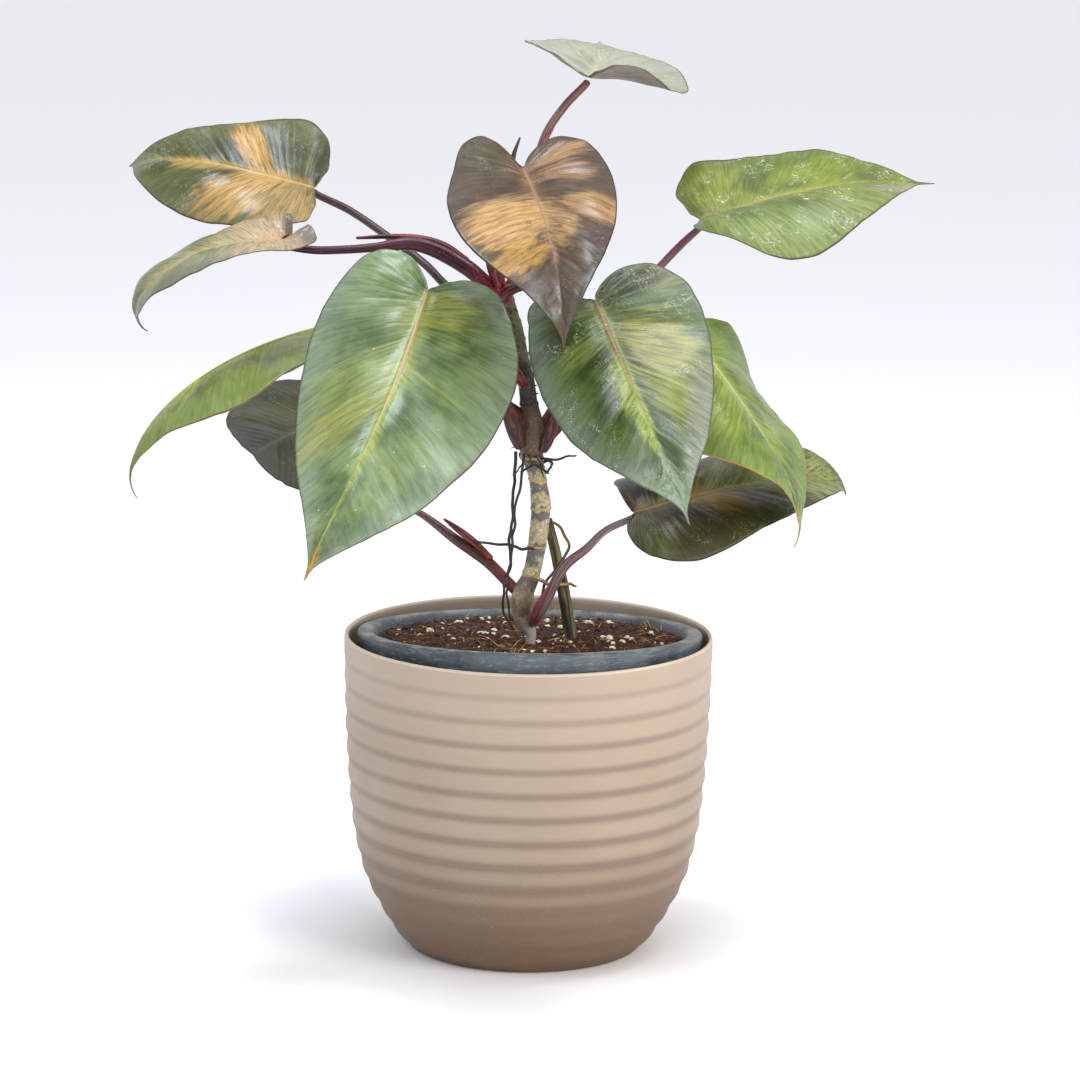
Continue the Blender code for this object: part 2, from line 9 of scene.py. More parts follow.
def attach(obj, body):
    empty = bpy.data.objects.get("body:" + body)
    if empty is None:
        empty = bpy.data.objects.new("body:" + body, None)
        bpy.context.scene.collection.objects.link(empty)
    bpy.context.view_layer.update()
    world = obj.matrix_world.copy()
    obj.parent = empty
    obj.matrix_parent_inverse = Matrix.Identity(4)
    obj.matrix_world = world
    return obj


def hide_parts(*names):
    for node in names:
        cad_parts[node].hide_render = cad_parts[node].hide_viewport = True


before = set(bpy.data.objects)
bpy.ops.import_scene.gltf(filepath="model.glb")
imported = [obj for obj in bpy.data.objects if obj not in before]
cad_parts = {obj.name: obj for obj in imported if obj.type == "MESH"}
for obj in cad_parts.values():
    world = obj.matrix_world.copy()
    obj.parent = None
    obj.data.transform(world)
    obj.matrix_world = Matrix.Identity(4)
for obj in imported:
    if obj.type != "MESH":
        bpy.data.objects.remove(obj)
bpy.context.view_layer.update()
mm = 0.001
up3 = Vector((0, 0, 1))


# ---- small helpers

def linearColour(hexText):
    values = [int(hexText[i:i + 2], 16) / 255 for i in (1, 3, 5)]
    return (*(c / 12.92 if c < 0.04045 else ((c + 0.055) / 1.055) ** 2.4 for c in values), 1.0)


def newMaterial(name, colour, roughness, **shaderValues):
    material = bpy.data.materials.new(name)
    material.use_nodes = True
    shader = material.node_tree.nodes["Principled BSDF"]
    shader.inputs["Base Color"].default_value = linearColour(colour)
    shader.inputs["Roughness"].default_value = roughness
    for socket, value in shaderValues.items():
        shader.inputs[socket.replace("_", " ")].default_value = value
    return material, shader


def addNode(material, kind, inputs=None, **settings):
    node = material.node_tree.nodes.new(kind)
    for setting, value in settings.items():
        setattr(node, setting, value)
    for socket, value in (inputs or {}).items():
        if isinstance(value, bpy.types.NodeSocket):
            material.node_tree.links.new(value, node.inputs[socket])
        else:
            node.inputs[socket].default_value = value
    return node


def mathNode(material, operation, first, second=0.0, third=0.0):
    return addNode(material, "ShaderNodeMath", {0: first, 1: second, 2: third}, operation=operation).outputs[0]


def rampNode(material, value, low, high, toLow=0.0, toHigh=1.0):
    # a soft step from toLow to toHigh as the value goes from low to high
    return addNode(material, "ShaderNodeMapRange", {0: value, 1: low, 2: high, 3: toLow, 4: toHigh},
                   interpolation_type="SMOOTHSTEP").outputs[0]


def blendNode(material, share, under, over):
    sockets = [linearColour(c) if isinstance(c, str) else c for c in (under, over)]
    return addNode(material, "ShaderNodeMix", {0: share, 6: sockets[0], 7: sockets[1]}, data_type="RGBA").outputs[2]


def noiseNode(material, vector, scale, detail=3.0, roughness=0.55, distortion=0.0):
    return addNode(material, "ShaderNodeTexNoise", {"Vector": vector, "Scale": scale, "Detail": detail,
                                                    "Roughness": roughness, "Distortion": distortion}).outputs["Fac"]


def objectPlace(material):
    return addNode(material, "ShaderNodeTexCoord").outputs["Object"]


def linkFinish(material, shader, colour=None, roughness=None, height=None, depth=0.2, strength=1.0):
    if colour is not None:
        material.node_tree.links.new(colour, shader.inputs["Base Color"])
    if roughness is not None:
        material.node_tree.links.new(roughness, shader.inputs["Roughness"])
    if height is not None:
        bump = addNode(material, "ShaderNodeBump", {"Height": height, "Distance": depth * mm, "Strength": strength})
        material.node_tree.links.new(bump.outputs["Normal"], shader.inputs["Normal"])


def onlySelect(*pieces):
    bpy.ops.object.select_all(action="DESELECT")
    for piece in pieces:
        piece.select_set(True)
    bpy.context.view_layer.objects.active = pieces[0]


def closeSeams(piece, threshold=1e-6, recalculate=True):
    onlySelect(piece)
    bpy.ops.object.mode_set(mode="EDIT")
    bpy.ops.mesh.select_all(action="SELECT")
    bpy.ops.mesh.remove_doubles(threshold=threshold)
    if recalculate:
        bpy.ops.mesh.normals_make_consistent(inside=False)
    bpy.ops.object.mode_set(mode="OBJECT")


def finishPiece(piece, slot, nodes, *materials):
    for material in materials:
        piece.data.materials.append(material)
    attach(piece, "root")
    if nodes:
        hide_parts(*nodes)
    return piece


def smoothLine(points, steps):
    # a curve through the points, with the given number of steps between two of them
    rows = [np.array(p, float) for p in points]
    rows = [2 * rows[0] - rows[1], *rows, 2 * rows[-1] - rows[-2]]
    line = []
    for a, b, c, d in zip(rows, rows[1:], rows[2:], rows[3:]):
        for t in np.arange(steps) / steps:
            line.append(0.5 * (2 * b + (c - a) * t + (2 * a - 5 * b + 4 * c - d) * t ** 2
                               + (3 * b - a - 3 * c + d) * t ** 3))
    line.append(rows[-2])
    return np.array(line)


def evenLine(points, count):
    line = smoothLine(points, 16)
    walked = np.concatenate(([0], np.cumsum(np.linalg.norm(np.diff(line[:, :3], axis=0), axis=1))))
    places = np.linspace(0, walked[-1], count)
    return np.stack([np.interp(places, walked, line[:, k]) for k in range(line.shape[1])], -1), walked[-1]


def addGrid(name, columns, rows):
    bpy.ops.object.select_all(action="DESELECT")
    bpy.ops.mesh.primitive_grid_add(x_subdivisions=columns, y_subdivisions=rows, size=2, calc_uvs=True)
    piece = bpy.context.active_object
    piece.name = name
    piece.data.name = name
    flat = np.zeros(len(piece.data.vertices) * 3)
    piece.data.vertices.foreach_get("co", flat)
    flat = flat.reshape(-1, 3)
    return piece, flat[:, 0], (flat[:, 1] + 1) / 2


def moveVertices(piece, places):
    piece.data.vertices.foreach_set("co", np.asarray(places, np.float32).ravel())
    piece.data.update()


def addStalk(name, route, sides=18, step=1.5, shape=None, blunt=0.5, wander=0.0):
    # a round stalk along a route of x, y, z and radius in millimetres, with rounded ends; wander makes it kinked
    _, length = evenLine(route, 2)
    count = max(int(length / step), 8)
    line, _ = evenLine(route, count + 1)
    if wander:
        for k, share in enumerate(np.linspace(0, 1, count + 1)):
            kink = noise.noise_vector(Vector((share * length / 9, route[0][0], route[0][1])))
            line[k, :3] += np.array(kink) * wander * min(1, 6 * share, 6 * (1 - share))
    tangents = np.gradient(line[:, :3], axis=0)
    tangents /= np.linalg.norm(tangents, axis=1)[:, None]
    side = np.cross(tangents[0], (0.13, 0.21, 0.97) if abs(tangents[0][2]) < 0.9 else (0, 1, 0.1))
    sidesWays = []
    for tangent in tangents:
        side = side - tangent * side.dot(tangent)
        side = side / np.linalg.norm(side)
        sidesWays.append(side)
    sidesWays = np.array(sidesWays)
    others = np.cross(tangents, sidesWays)
    piece, u, v = addGrid(name, sides, count)
    row = np.clip(np.rint(v * count).astype(int), 0, count)
    angle = (u + 1) * math.pi
    angle[u > 0.9999] = 0
    walked = v * length
    radius = line[row, 3]
    endRound = np.maximum(radius * blunt, 0.05)
    for gone in (walked, length - walked):
        share = np.clip(gone / endRound, 0, 1)
        radius = radius * np.sqrt(np.clip(1 - (1 - share) ** 2, 0, 1))
    if shape is not None:
        radius = radius * shape(angle, walked, line[row])
    ring = sidesWays[row] * np.cos(angle)[:, None] + others[row] * np.sin(angle)[:, None]
    moveVertices(piece, (line[row, :3] + ring * radius[:, None]) * mm)
    closeSeams(piece, 2e-6)
    onlySelect(piece)
    bpy.ops.object.shade_smooth()
    return piece


def turnedRings(name, stations, segments):
    # rings of (radius, height) in millimetres, pulled up one after another from a first circle and capped
    bpy.ops.object.select_all(action="DESELECT")
    radius, height = stations[0]
    bpy.ops.mesh.primitive_circle_add(vertices=segments, radius=radius * mm, fill_type="NGON",
                                      location=(0, 0, height * mm))
    piece = bpy.context.active_object
    piece.name = name
    piece.data.name = name
    bpy.ops.object.transform_apply(location=True, rotation=False, scale=False)
    bpy.ops.object.mode_set(mode="EDIT")
    bpy.ops.mesh.select_all(action="SELECT")
    for (r0, z0), (r1, z1) in zip(stations, stations[1:]):
        bpy.ops.mesh.extrude_region_move(TRANSFORM_OT_translate={"value": (0, 0, (z1 - z0) * mm)})
        bpy.ops.transform.resize(value=(r1 / r0, r1 / r0, 1), center_override=(0, 0, z1 * mm))
    bpy.ops.mesh.select_all(action="SELECT")
    bpy.ops.mesh.normals_make_consistent(inside=False)
    bpy.ops.object.mode_set(mode="OBJECT")
    bpy.ops.object.shade_smooth_by_angle(angle=math.radians(50))
    return piece


print("helpers ready")

# ---- camera, lights and floor

studio = {
    "lens": 150, "place": (0, -2.621, 0.777), "pitch": 11.44, "yaw": 0.13, "roll": 0.85,
    "floor": "#f7f6f6", "world": "#f6f8ff", "worldStrength": 0.94,
    "lights": (("keySoftbox", (1.5, -1.5, 1.3), 1.2, 28, "#fff6ea"),
               ("leftSoftbox", (-1.3, -0.9, 1.7), 0.8, 6, "#e2edff"),
               ("leftTopSoftbox", (-0.4, 0.0, 2.0), 0.5, 17, "#e6f0ff"),
               ("rightTopSoftbox", (0.5, -0.25, 2.0), 0.5, 13, "#f2f6ff")),
    "aim": (0, 0, 0.3),
}


def addStudio():
    scene = bpy.context.scene
    scene.view_settings.view_transform = "Standard"
    pitch, yaw, roll = (math.radians(studio[key]) for key in ("pitch", "yaw", "roll"))
    ahead = Vector((math.sin(yaw) * math.cos(pitch), math.cos(yaw) * math.cos(pitch), -math.sin(pitch)))
    right = Vector((math.cos(yaw), -math.sin(yaw), 0))
    lift = right.cross(ahead)
    across = right * math.cos(roll) + lift * math.sin(roll)
    lift = lift * math.cos(roll) - right * math.sin(roll)
    bpy.ops.object.camera_add()
    camera = bpy.context.active_object
    camera.name = "productCamera"
    camera.matrix_world = Matrix.Translation(studio["place"]) @ Matrix((across, lift, -ahead)).transposed().to_4x4()
    camera.data.lens = studio["lens"]
    camera.data.sensor_width = 36
    camera.data.clip_end = 200
    scene.camera = camera
    for name, place, size, power, tint in studio["lights"]:
        bpy.ops.object.light_add(type="AREA", location=place)
        light = bpy.context.active_object
        light.name = name
        light.data.shape = "DISK"
        light.data.size = size
        light.data.energy = power
        light.data.color = linearColour(tint)[:3]
        light.rotation_euler = (Vector(studio["aim"]) - Vector(place)).to_track_quat("-Z", "Y").to_euler()
    world = bpy.data.worlds.new("paleStudio")
    world.use_nodes = True
    background = world.node_tree.nodes["Background"]
    background.inputs["Color"].default_value = linearColour(studio["world"])
    background.inputs["Strength"].default_value = studio["worldStrength"]
    scene.world = world
    bpy.ops.mesh.primitive_plane_add(size=80, location=(0, 0, 0))
    floor = bpy.context.active_object
    floor.name = "paleFloor"
    # matt white laminate: even, with a hint of unevenness so that it doesn't look cut out
    material, shader = newMaterial("mattWhiteLaminate", studio["floor"], 0.7)
    mottle = noiseNode(material, objectPlace(material), 3.0)
    linkFinish(material, shader, blendNode(material, mottle, studio["floor"], "#f7f6f5"))
    floor.data.materials.append(material)


addStudio()
print("studio ready")

# ---- cover pot

coverPot = {
    "height": 190, "rimRadius": 110, "wall": 2.6, "ribPitch": 14.7, "ribCount": 12, "ribDepth": 1.0,
    "firstGroove": 17.6, "floor": 3.5, "segments": 160, "ribSteps": 14,
    # outer radius at shares of the height
    "form": ((0.0, 69.9), (0.04, 77.0), (0.09, 83.4), (0.16, 90.9), (0.25, 98.1), (0.4, 104.4), (0.6, 107.8),
             (0.8, 109.5), (1.0, 110.0)),
    "colour": "#a3917e", "shade": "#927f6c", "speck": "#b9aa99",
}


def coverRadius(z):
    line = smoothLine(coverPot["form"], 8)
    return np.interp(np.asarray(z) / coverPot["height"], line[:, 0], line[:, 1])


def ribbedPlastic():
    # injection moulded polypropylene with a mineral fleck: matt and finely grained, with painted shade that makes it a
    # little darker low down and under each rib, painted light towards the top and a painted highlight on the lip
    material, shader = newMaterial("mattMouldedPolypropylene", coverPot["colour"], 0.5)
    place = objectPlace(material)
    height = addNode(material, "ShaderNodeSeparateXYZ", {0: place}).outputs[2]
    cloudy = noiseNode(material, place, 18)
    tone = blendNode(material, rampNode(material, cloudy, 0.3, 0.7, 0.0, 0.22), coverPot["colour"], coverPot["shade"])
    # painted shade: the wall darkens to brown towards the bottom
    tone = blendNode(material, rampNode(material, height, 0.0, 0.1, 0.9, 0.0), tone, "#6a4a26")
    # painted light: the wall turns paler towards the top
    tone = blendNode(material, rampNode(material, height, 0.11, 0.185, 0.0, 0.5), tone, "#bba997")
    # painted shade: the wall is darker where it faces downwards, under each rib and on the lower belly
    facing = addNode(material, "ShaderNodeSeparateXYZ",
                     {0: addNode(material, "ShaderNodeNewGeometry").outputs["Normal"]}).outputs[2]
    tone = blendNode(material, rampNode(material, facing, -0.34, 0.06, 0.5, 0.0), tone, "#5d4b3b")
    # painted highlight: a pale band along the top of the lip
    tone = blendNode(material, rampNode(material, height, 0.1882, 0.189, 0.0, 0.8), tone, "#d8c7b0")
    fleck = noiseNode(material, place, 1 / (1.1 * mm), 2)
    tone = blendNode(material, rampNode(material, fleck, 0.62, 0.74, 0.0, 0.3), tone, coverPot["speck"])
    grain = noiseNode(material, place, 1 / (0.7 * mm), 3)
    linkFinish(material, shader, tone, rampNode(material, cloudy, 0.3, 0.7, 0.46, 0.56), grain, 0.06, 0.5)
    return material


def addCoverPot():
    top, rim, wall = coverPot["height"], coverPot["rimRadius"], coverPot["wall"]
    heights = np.linspace(0, top, 400)
    radii = coverRadius(heights)
    along = np.concatenate(([0], np.cumsum(np.hypot(np.diff(radii), np.diff(heights)))))
    outer = []
    for place in np.arange(1.2, along[-1] - 2.2, coverPot["ribPitch"] / coverPot["ribSteps"]):
        depth = 0.0
        fromTop = along[-1] - place
        if fromTop > coverPot["firstGroove"] - 5.5:
            # the wall slopes out gently under each groove and rolls in sharply above it
            phase = ((fromTop - coverPot["firstGroove"]) / coverPot["ribPitch"]) % 1
            slow = 0.5 + 0.5 * math.cos(math.pi * min(phase / 0.6, 1))
            quick = 0.5 - 0.5 * math.cos(math.pi * max((phase - 0.6) / 0.4, 0))
            depth = coverPot["ribDepth"] * max(slow if phase < 0.6 else quick, 0)
            if fromTop < coverPot["firstGroove"]:
                depth = coverPot["ribDepth"] * (0.5 - 0.5 * math.cos(math.pi * (fromTop - 12.1) / 5.5))
        z = float(np.interp(place, along, heights))
        # the grooves are shallower near the lip
        outer.append((float(coverRadius(z)) - depth * min(1, 0.3 + fromTop / 65), z))
    lip = [(rim - 0.1, top - 1.6), (rim - 0.25, top - 0.9), (rim - 0.7, top - 0.35), (rim - 1.3, top - 0.05),
           (rim - 1.9, top - 0.35), (rim - wall, top - 1.0)]
    inner = [(float(coverRadius(z)) - wall - (0.9 if z < top - 14 else 0), z)
             for z in np.linspace(top - 4, coverPot["floor"] + 1.5, 40)]
    last = inner[-1][0]
    floor = [(last - 1.2, coverPot["floor"] + 0.5), (last - 4, coverPot["floor"]), (4, coverPot["floor"])]
    foot = [(4, 0.9), (58, 0.9), (61, 0), (67.6, 0), (69.2, 0.35)]
    piece = turnedRings("coverPotShell", foot + outer + lip + inner + floor, coverPot["segments"])
    finishPiece(piece, "taupe_plastic", ["cover_pot"], ribbedPlastic())


addCoverPot()
print("cover pot done")

# ---- grow pot and potting mix

growPot = {
    "height": 183, "rimRadius": 103, "rimDepth": 16, "rimShelf": 9, "baseRadius": 60, "wall": 1.4,
    "tilt": 4.8, "rimCentre": (0.8, 0, 191.5), "segments": 144,
    "holes": 8, "holeRadius": 6, "holeCircle": 45,
    "colour": "#566066", "scuff": "#8d979c", "dark": "#343c43", "dust": "#9a9184",
}
growPlace = (Matrix.Translation(Vector(growPot["rimCentre"]) * mm)
             @ Matrix.Rotation(-math.radians(growPot["tilt"]), 4, "X")
             @ Matrix.Translation((0, 0, -growPot["height"] * mm)))


def growWall(height):
    rimInside = growPot["rimRadius"] - growPot["rimShelf"]
    return growPot["baseRadius"] + (rimInside - growPot["baseRadius"]) * height / growPot["height"]


def scuffedPlastic():
    # vacuum formed recycled polypropylene: slate grey, scuffed pale where it was handled, dusty on top
    material, shader = newMaterial("scuffedGrowPotPlastic", growPot["colour"], 0.45)
    place = objectPlace(material)
    wide = noiseNode(material, place, 22, 4)
    stretched = addNode(material, "ShaderNodeMapping", {"Vector": place, "Scale": (1, 1, 5)}).outputs[0]
    scratch = noiseNode(material, stretched, 160, 5, 0.7, 0.6)
    tone = blendNode(material, rampNode(material, wide, 0.35, 0.65), growPot["dark"], growPot["colour"])
    tone = blendNode(material, rampNode(material, scratch, 0.5, 0.68, 0.0, 0.6), tone, growPot["scuff"])
    facing = addNode(material, "ShaderNodeSeparateXYZ",
                     {0: addNode(material, "ShaderNodeNewGeometry").outputs["Normal"]}).outputs[2]
    dusty = mathNode(material, "MULTIPLY", rampNode(material, facing, 0.5, 0.95, 0.0, 0.75),
                     rampNode(material, noiseNode(material, place, 75, 5), 0.4, 0.62))
    tone = blendNode(material, dusty, tone, growPot["dust"])
    linkFinish(material, shader, tone, rampNode(material, scratch, 0.35, 0.65, 0.36, 0.6), scratch, 0.15, 0.5)
    return material


def addGrowPot():
    top, rim, wall = growPot["height"], growPot["rimRadius"], growPot["wall"]
    under = top - growPot["rimDepth"]
    wallTop = growWall(top)
    base = growPot["baseRadius"]
    stations = [(4, 0), (base - 1.5, 0), (base - 0.3, 0.5), (base + 0.3, 1.6)]
    stations += [(growWall(h), h) for h in np.linspace(8, under, 14)]
    stations += [(wallTop + 0.4, top - 2.6), (wallTop + 1.0, top - wall), (rim - 3.0, top - wall),
                 (rim - 2.2, top - wall - 0.6), (rim - 2.4, under + 0.4), (rim - 2.0, under), (rim - 1.4, under),
                 (rim - 1.0, under + 0.4), (rim - 0.75, top - 10), (rim - 0.45, top - 5), (rim - 0.1, top - 2.4),
                 (rim - 0.25, top - 1.2), (rim - 0.8, top - 0.45), (rim - 1.6, top - 0.1), (rim - 3.0, top),
                 (wallTop + 2.2, top), (wallTop + 0.9, top - 0.3), (wallTop - 0.1, top - 1.1),
                 (wallTop - wall, top - 3)]
    stations += [(growWall(h) - wall, h) for h in np.linspace(top - 8, 6, 16)]
    stations += [(base - 1.6, wall + 0.4), (base - 3, wall), (4, wall)]
    piece = turnedRings("growPotShell", stations, growPot["segments"])
    cutters = []
    for hole in range(growPot["holes"]):
        angle = 2 * math.pi * hole / growPot["holes"]
        bpy.ops.object.select_all(action="DESELECT")
        bpy.ops.mesh.primitive_cylinder_add(
            vertices=24, radius=growPot["holeRadius"] * mm, depth=8 * mm,
            location=(growPot["holeCircle"] * mm * math.cos(angle), growPot["holeCircle"] * mm * math.sin(angle), 0))
        cutters.append(bpy.context.active_object)
    onlySelect(*cutters)
    bpy.ops.object.join()
    cutter = bpy.context.active_object
    onlySelect(piece)
    step = piece.modifiers.new("drainHoles", "BOOLEAN")
    step.operation = "DIFFERENCE"
    step.object = cutter
    bpy.ops.object.modifier_apply(modifier=step.name)
    bpy.data.objects.remove(cutter)
    piece.data.transform(growPlace)
    finishPiece(piece, "slate_plastic", ["nursery_pot"], scuffedPlastic())


pottingMix = {
    "belowRim": 5, "heap": 7, "reach": 90, "lump": 0.8, "surfaceCells": 150,
    "crumbs": 1700, "perlite": 140, "shreds": 170, "fibres": 150,
    "dark": "#1f120b", "brown": "#48291a", "red": "#6d3a20", "straw": "#cfa660", "perliteWhite": "#f0e6cf",
}


def soilRise(x, y):
    reach = np.hypot(x, y) / pottingMix["reach"]
    slope = (0.45 * x + 0.9 * y) / pottingMix["reach"]
    lumps = np.sin(x * 0.15 + 1) * np.cos(y * 0.13) * pottingMix["lump"]
    return (pottingMix["heap"] * (0.35 + 0.55 * slope) * np.maximum(1 - reach ** 3, 0)
            + lumps * np.maximum(1 - reach, 0))


def soilGrain(x, y, seed=0.0):
    # lumps of 6 mm down to crumbs of 1 mm
    value = 0.0
    for size, height in ((9, 1.6), (4.2, 1.1), (1.9, 0.6)):
        value += height * noise.noise(Vector((x / size, y / size, seed)))
    return value


def peatMaterial(name, light, dark, specks):
    # damp peat and coir: matt dark brown crumbs with reddish bits
    material, shader = newMaterial(name, light, 0.92)
    place = objectPlace(material)
    crumb = noiseNode(material, place, 1 / (2.4 * mm), 4, 0.7)
    tone = blendNode(material, rampNode(material, crumb, 0.35, 0.65), dark, light)
    wide = noiseNode(material, place, 1 / (14 * mm), 3)
    tone = blendNode(material, rampNode(material, wide, 0.5, 0.72, 0.0, 0.55), tone, pottingMix["red"])
    fine = noiseNode(material, place, 1 / (0.9 * mm), 2)
    tone = blendNode(material, rampNode(material, fine, 0.66, 0.74, 0.0, specks), tone, pottingMix["straw"])
    linkFinish(material, shader, tone, None, crumb, 0.8, 0.9)
    return material


def perliteMaterial():
    # expanded volcanic glass: chalky white with peat dust in its pores
    material, shader = newMaterial("expandedPerlite", pottingMix["perliteWhite"], 0.85)
    place = objectPlace(material)
    pores = noiseNode(material, place, 1 / (1.3 * mm), 3)
    tone = blendNode(material, rampNode(material, pores, 0.32, 0.5, 0.7, 0.0), pottingMix["perliteWhite"], "#a78b66")
    linkFinish(material, shader, tone, None, pores, 0.5, 0.7)
    return material


def fibreMaterial():
    # coir and straw fibres: dry, tan to reddish
    material, shader = newMaterial("coirFibre", pottingMix["straw"], 0.75)
    patch = noiseNode(material, objectPlace(material), 1 / (16 * mm), 2)
    tone = blendNode(material, rampNode(material, patch, 0.42, 0.58), "#7d4c2a", pottingMix["straw"])
    linkFinish(material, shader, tone)
    return material


def scatterCopies(name, template, places, slot, material):
    copies = []
    for place in places:
        copy = template.copy()
        copy.data = template.data.copy()
        copy.data.transform(place)
        bpy.context.collection.objects.link(copy)
        copies.append(copy)
    bpy.data.objects.remove(template)
    onlySelect(*copies)
    bpy.ops.object.join()
    piece = bpy.context.active_object
    piece.name = name
    piece.data.name = name
    return finishPiece(piece, slot, [], material)


def crumbTemplate(name, roughness, seed, smooth=False):
    bpy.ops.object.select_all(action="DESELECT")
    bpy.ops.mesh.primitive_ico_sphere_add(subdivisions=2, radius=1)
    piece = bpy.context.active_object
    piece.name = name
    for vertex in piece.data.vertices:
        vertex.co *= 1 + roughness * noise.noise(vertex.co * 1.4 + Vector((seed, 0, 0)))
    if smooth:
        bpy.ops.object.shade_smooth()
    return piece


def addPottingMix():
    top = growPot["height"] - pottingMix["belowRim"]
    clear = growPot["wall"] + 0.3
    edge = growWall(top) - clear - 0.4
    piece, u, v = addGrid("soilBody", pottingMix["surfaceCells"], pottingMix["surfaceCells"])
    v = v * 2 - 1
    x = u * np.sqrt(1 - v * v / 2) * edge
    y = v * np.sqrt(1 - u * u / 2) * edge
    grains = np.array([soilGrain(a, b) for a, b in zip(x, y)])
    fade = np.clip((1 - np.hypot(x, y) / edge) / 0.03, 0, 1)
    z = top + soilRise(x, y) + grains * (0.25 + 0.75 * fade)
    moveVertices(piece, np.stack([x, y, z], -1) * mm)
    onlySelect(piece)
    bpy.ops.object.mode_set(mode="EDIT")
    bpy.ops.mesh.select_all(action="SELECT")
    bpy.ops.mesh.region_to_loop()
    height = top
    radius = edge
    for lower in (top * 0.94, top * 0.6, top * 0.25, 2.2):
        narrow = growWall(lower) - clear - 0.4
        bpy.ops.mesh.extrude_region_move(TRANSFORM_OT_translate={"value": (0, 0, (lower - height) * mm)})
        bpy.ops.transform.resize(value=(narrow / radius, narrow / radius, 1), center_override=(0, 0, 0))
        if height == top:
            bpy.ops.transform.resize(value=(1, 1, 0), center_override=(0, 0, lower * mm))
        height = lower
        radius = narrow
    bpy.ops.mesh.edge_face_add()
    bpy.ops.mesh.select_all(action="SELECT")
    bpy.ops.mesh.normals_make_consistent(inside=False)
    bpy.ops.object.mode_set(mode="OBJECT")
    bpy.ops.object.shade_smooth()
    piece.data.transform(growPlace)
    soil = peatMaterial("dampPeatCoirMix", pottingMix["brown"], pottingMix["dark"], 0.35)
    finishPiece(piece, "potting_soil", ["potting_mix"], soil)

    draw = random.Random(11)

    def spot(reach=0.97, sink=0.0):
        radius = edge * reach * math.sqrt(draw.random())
        angle = draw.uniform(0, 2 * math.pi)
        x, y = radius * math.cos(angle), radius * math.sin(angle)
        z = top + float(soilRise(x, y)) + soilGrain(x, y) - sink
        return growPlace @ Matrix.Translation(Vector((x, y, z)) * mm)

    def turned(size, squash=(1, 1, 1)):
        turn = Matrix.Rotation(draw.uniform(0, 6.28), 4, "Z") @ Matrix.Rotation(draw.uniform(-0.7, 0.7), 4, "X")
        scale = Matrix.Diagonal((*(size * mm * s * draw.uniform(0.75, 1.25) for s in squash), 1))
        return turn @ scale

    crumbs = [spot() @ turned(draw.choice((0.6, 0.8, 1.0, 1.3, 1.9)), (1, 0.85, 0.7))
              for _ in range(pottingMix["crumbs"])]
    scatterCopies("peatCrumbs", crumbTemplate("crumb", 0.7, 3), crumbs, "potting_soil",
                  peatMaterial("drierPeatCrumbs", "#5a3420", "#29170b", 0.2))
    shreds = [spot() @ turned(draw.uniform(0.9, 1.9), (2.4, 0.5, 0.35)) for _ in range(pottingMix["shreds"])]
    scatterCopies("barkShreds", crumbTemplate("shred", 0.6, 8), shreds, "potting_soil",
                  peatMaterial("shreddedBark", "#93603a", "#5a3320", 0.6))
    grains = [spot(0.95, 0.2) @ turned(draw.choice((0.8, 1.0, 1.3, 1.8, 2.4)), (1, 0.9, 0.8))
              for _ in range(pottingMix["perlite"])]
    scatterCopies("perliteGrains", crumbTemplate("grain", 0.45, 5), grains, "potting_soil", perliteMaterial())
    fibres = []
    for index in range(pottingMix["fibres"]):
        start = spot(0.95).translation / mm
        heading = draw.uniform(0, 2 * math.pi)
        bend = draw.uniform(-0.9, 0.9)
        rise = draw.choice((0.05, 0.15, 0.3, 1.1))
        length = draw.uniform(4, 14)
        route = []
        for share in (0, 0.35, 0.7, 1):
            direction = heading + bend * share
            place = start + Vector((math.cos(direction), math.sin(direction), 0)) * length * share
            route.append((*place[:2], place[2] + 0.5 + rise * length * share * (1 - 0.5 * share), 0.2 * (1.3 - share)))
        fibres.append(addStalk("fibre", route, 5, 2.0))
    onlySelect(*fibres)
    bpy.ops.object.join()
    fibres[0].name = "coirFibres"
    finishPiece(fibres[0], "potting_soil", [], fibreMaterial())


addGrowPot()
addPottingMix()
print("grow pot and potting mix done")

# ---- leaf blades

heart = ((0, 0), (0.055, -0.075), (0.17, -0.135), (0.31, -0.115), (0.42, -0.01), (0.485, 0.13), (0.495, 0.28),
         (0.44, 0.47), (0.335, 0.65), (0.2, 0.81), (0.085, 0.915))
swellStations = (-0.12, 0.1, 0.35, 0.6, 0.85)
bladeMake = {
    "thickness": 0.55, "columns": 64, "rows": 116, "veinSweep": 2.5, "veins": 5, "fineVeins": 30,
    "relief": 1.7, "fineRelief": 0.12, "midribReach": 1.12,
}

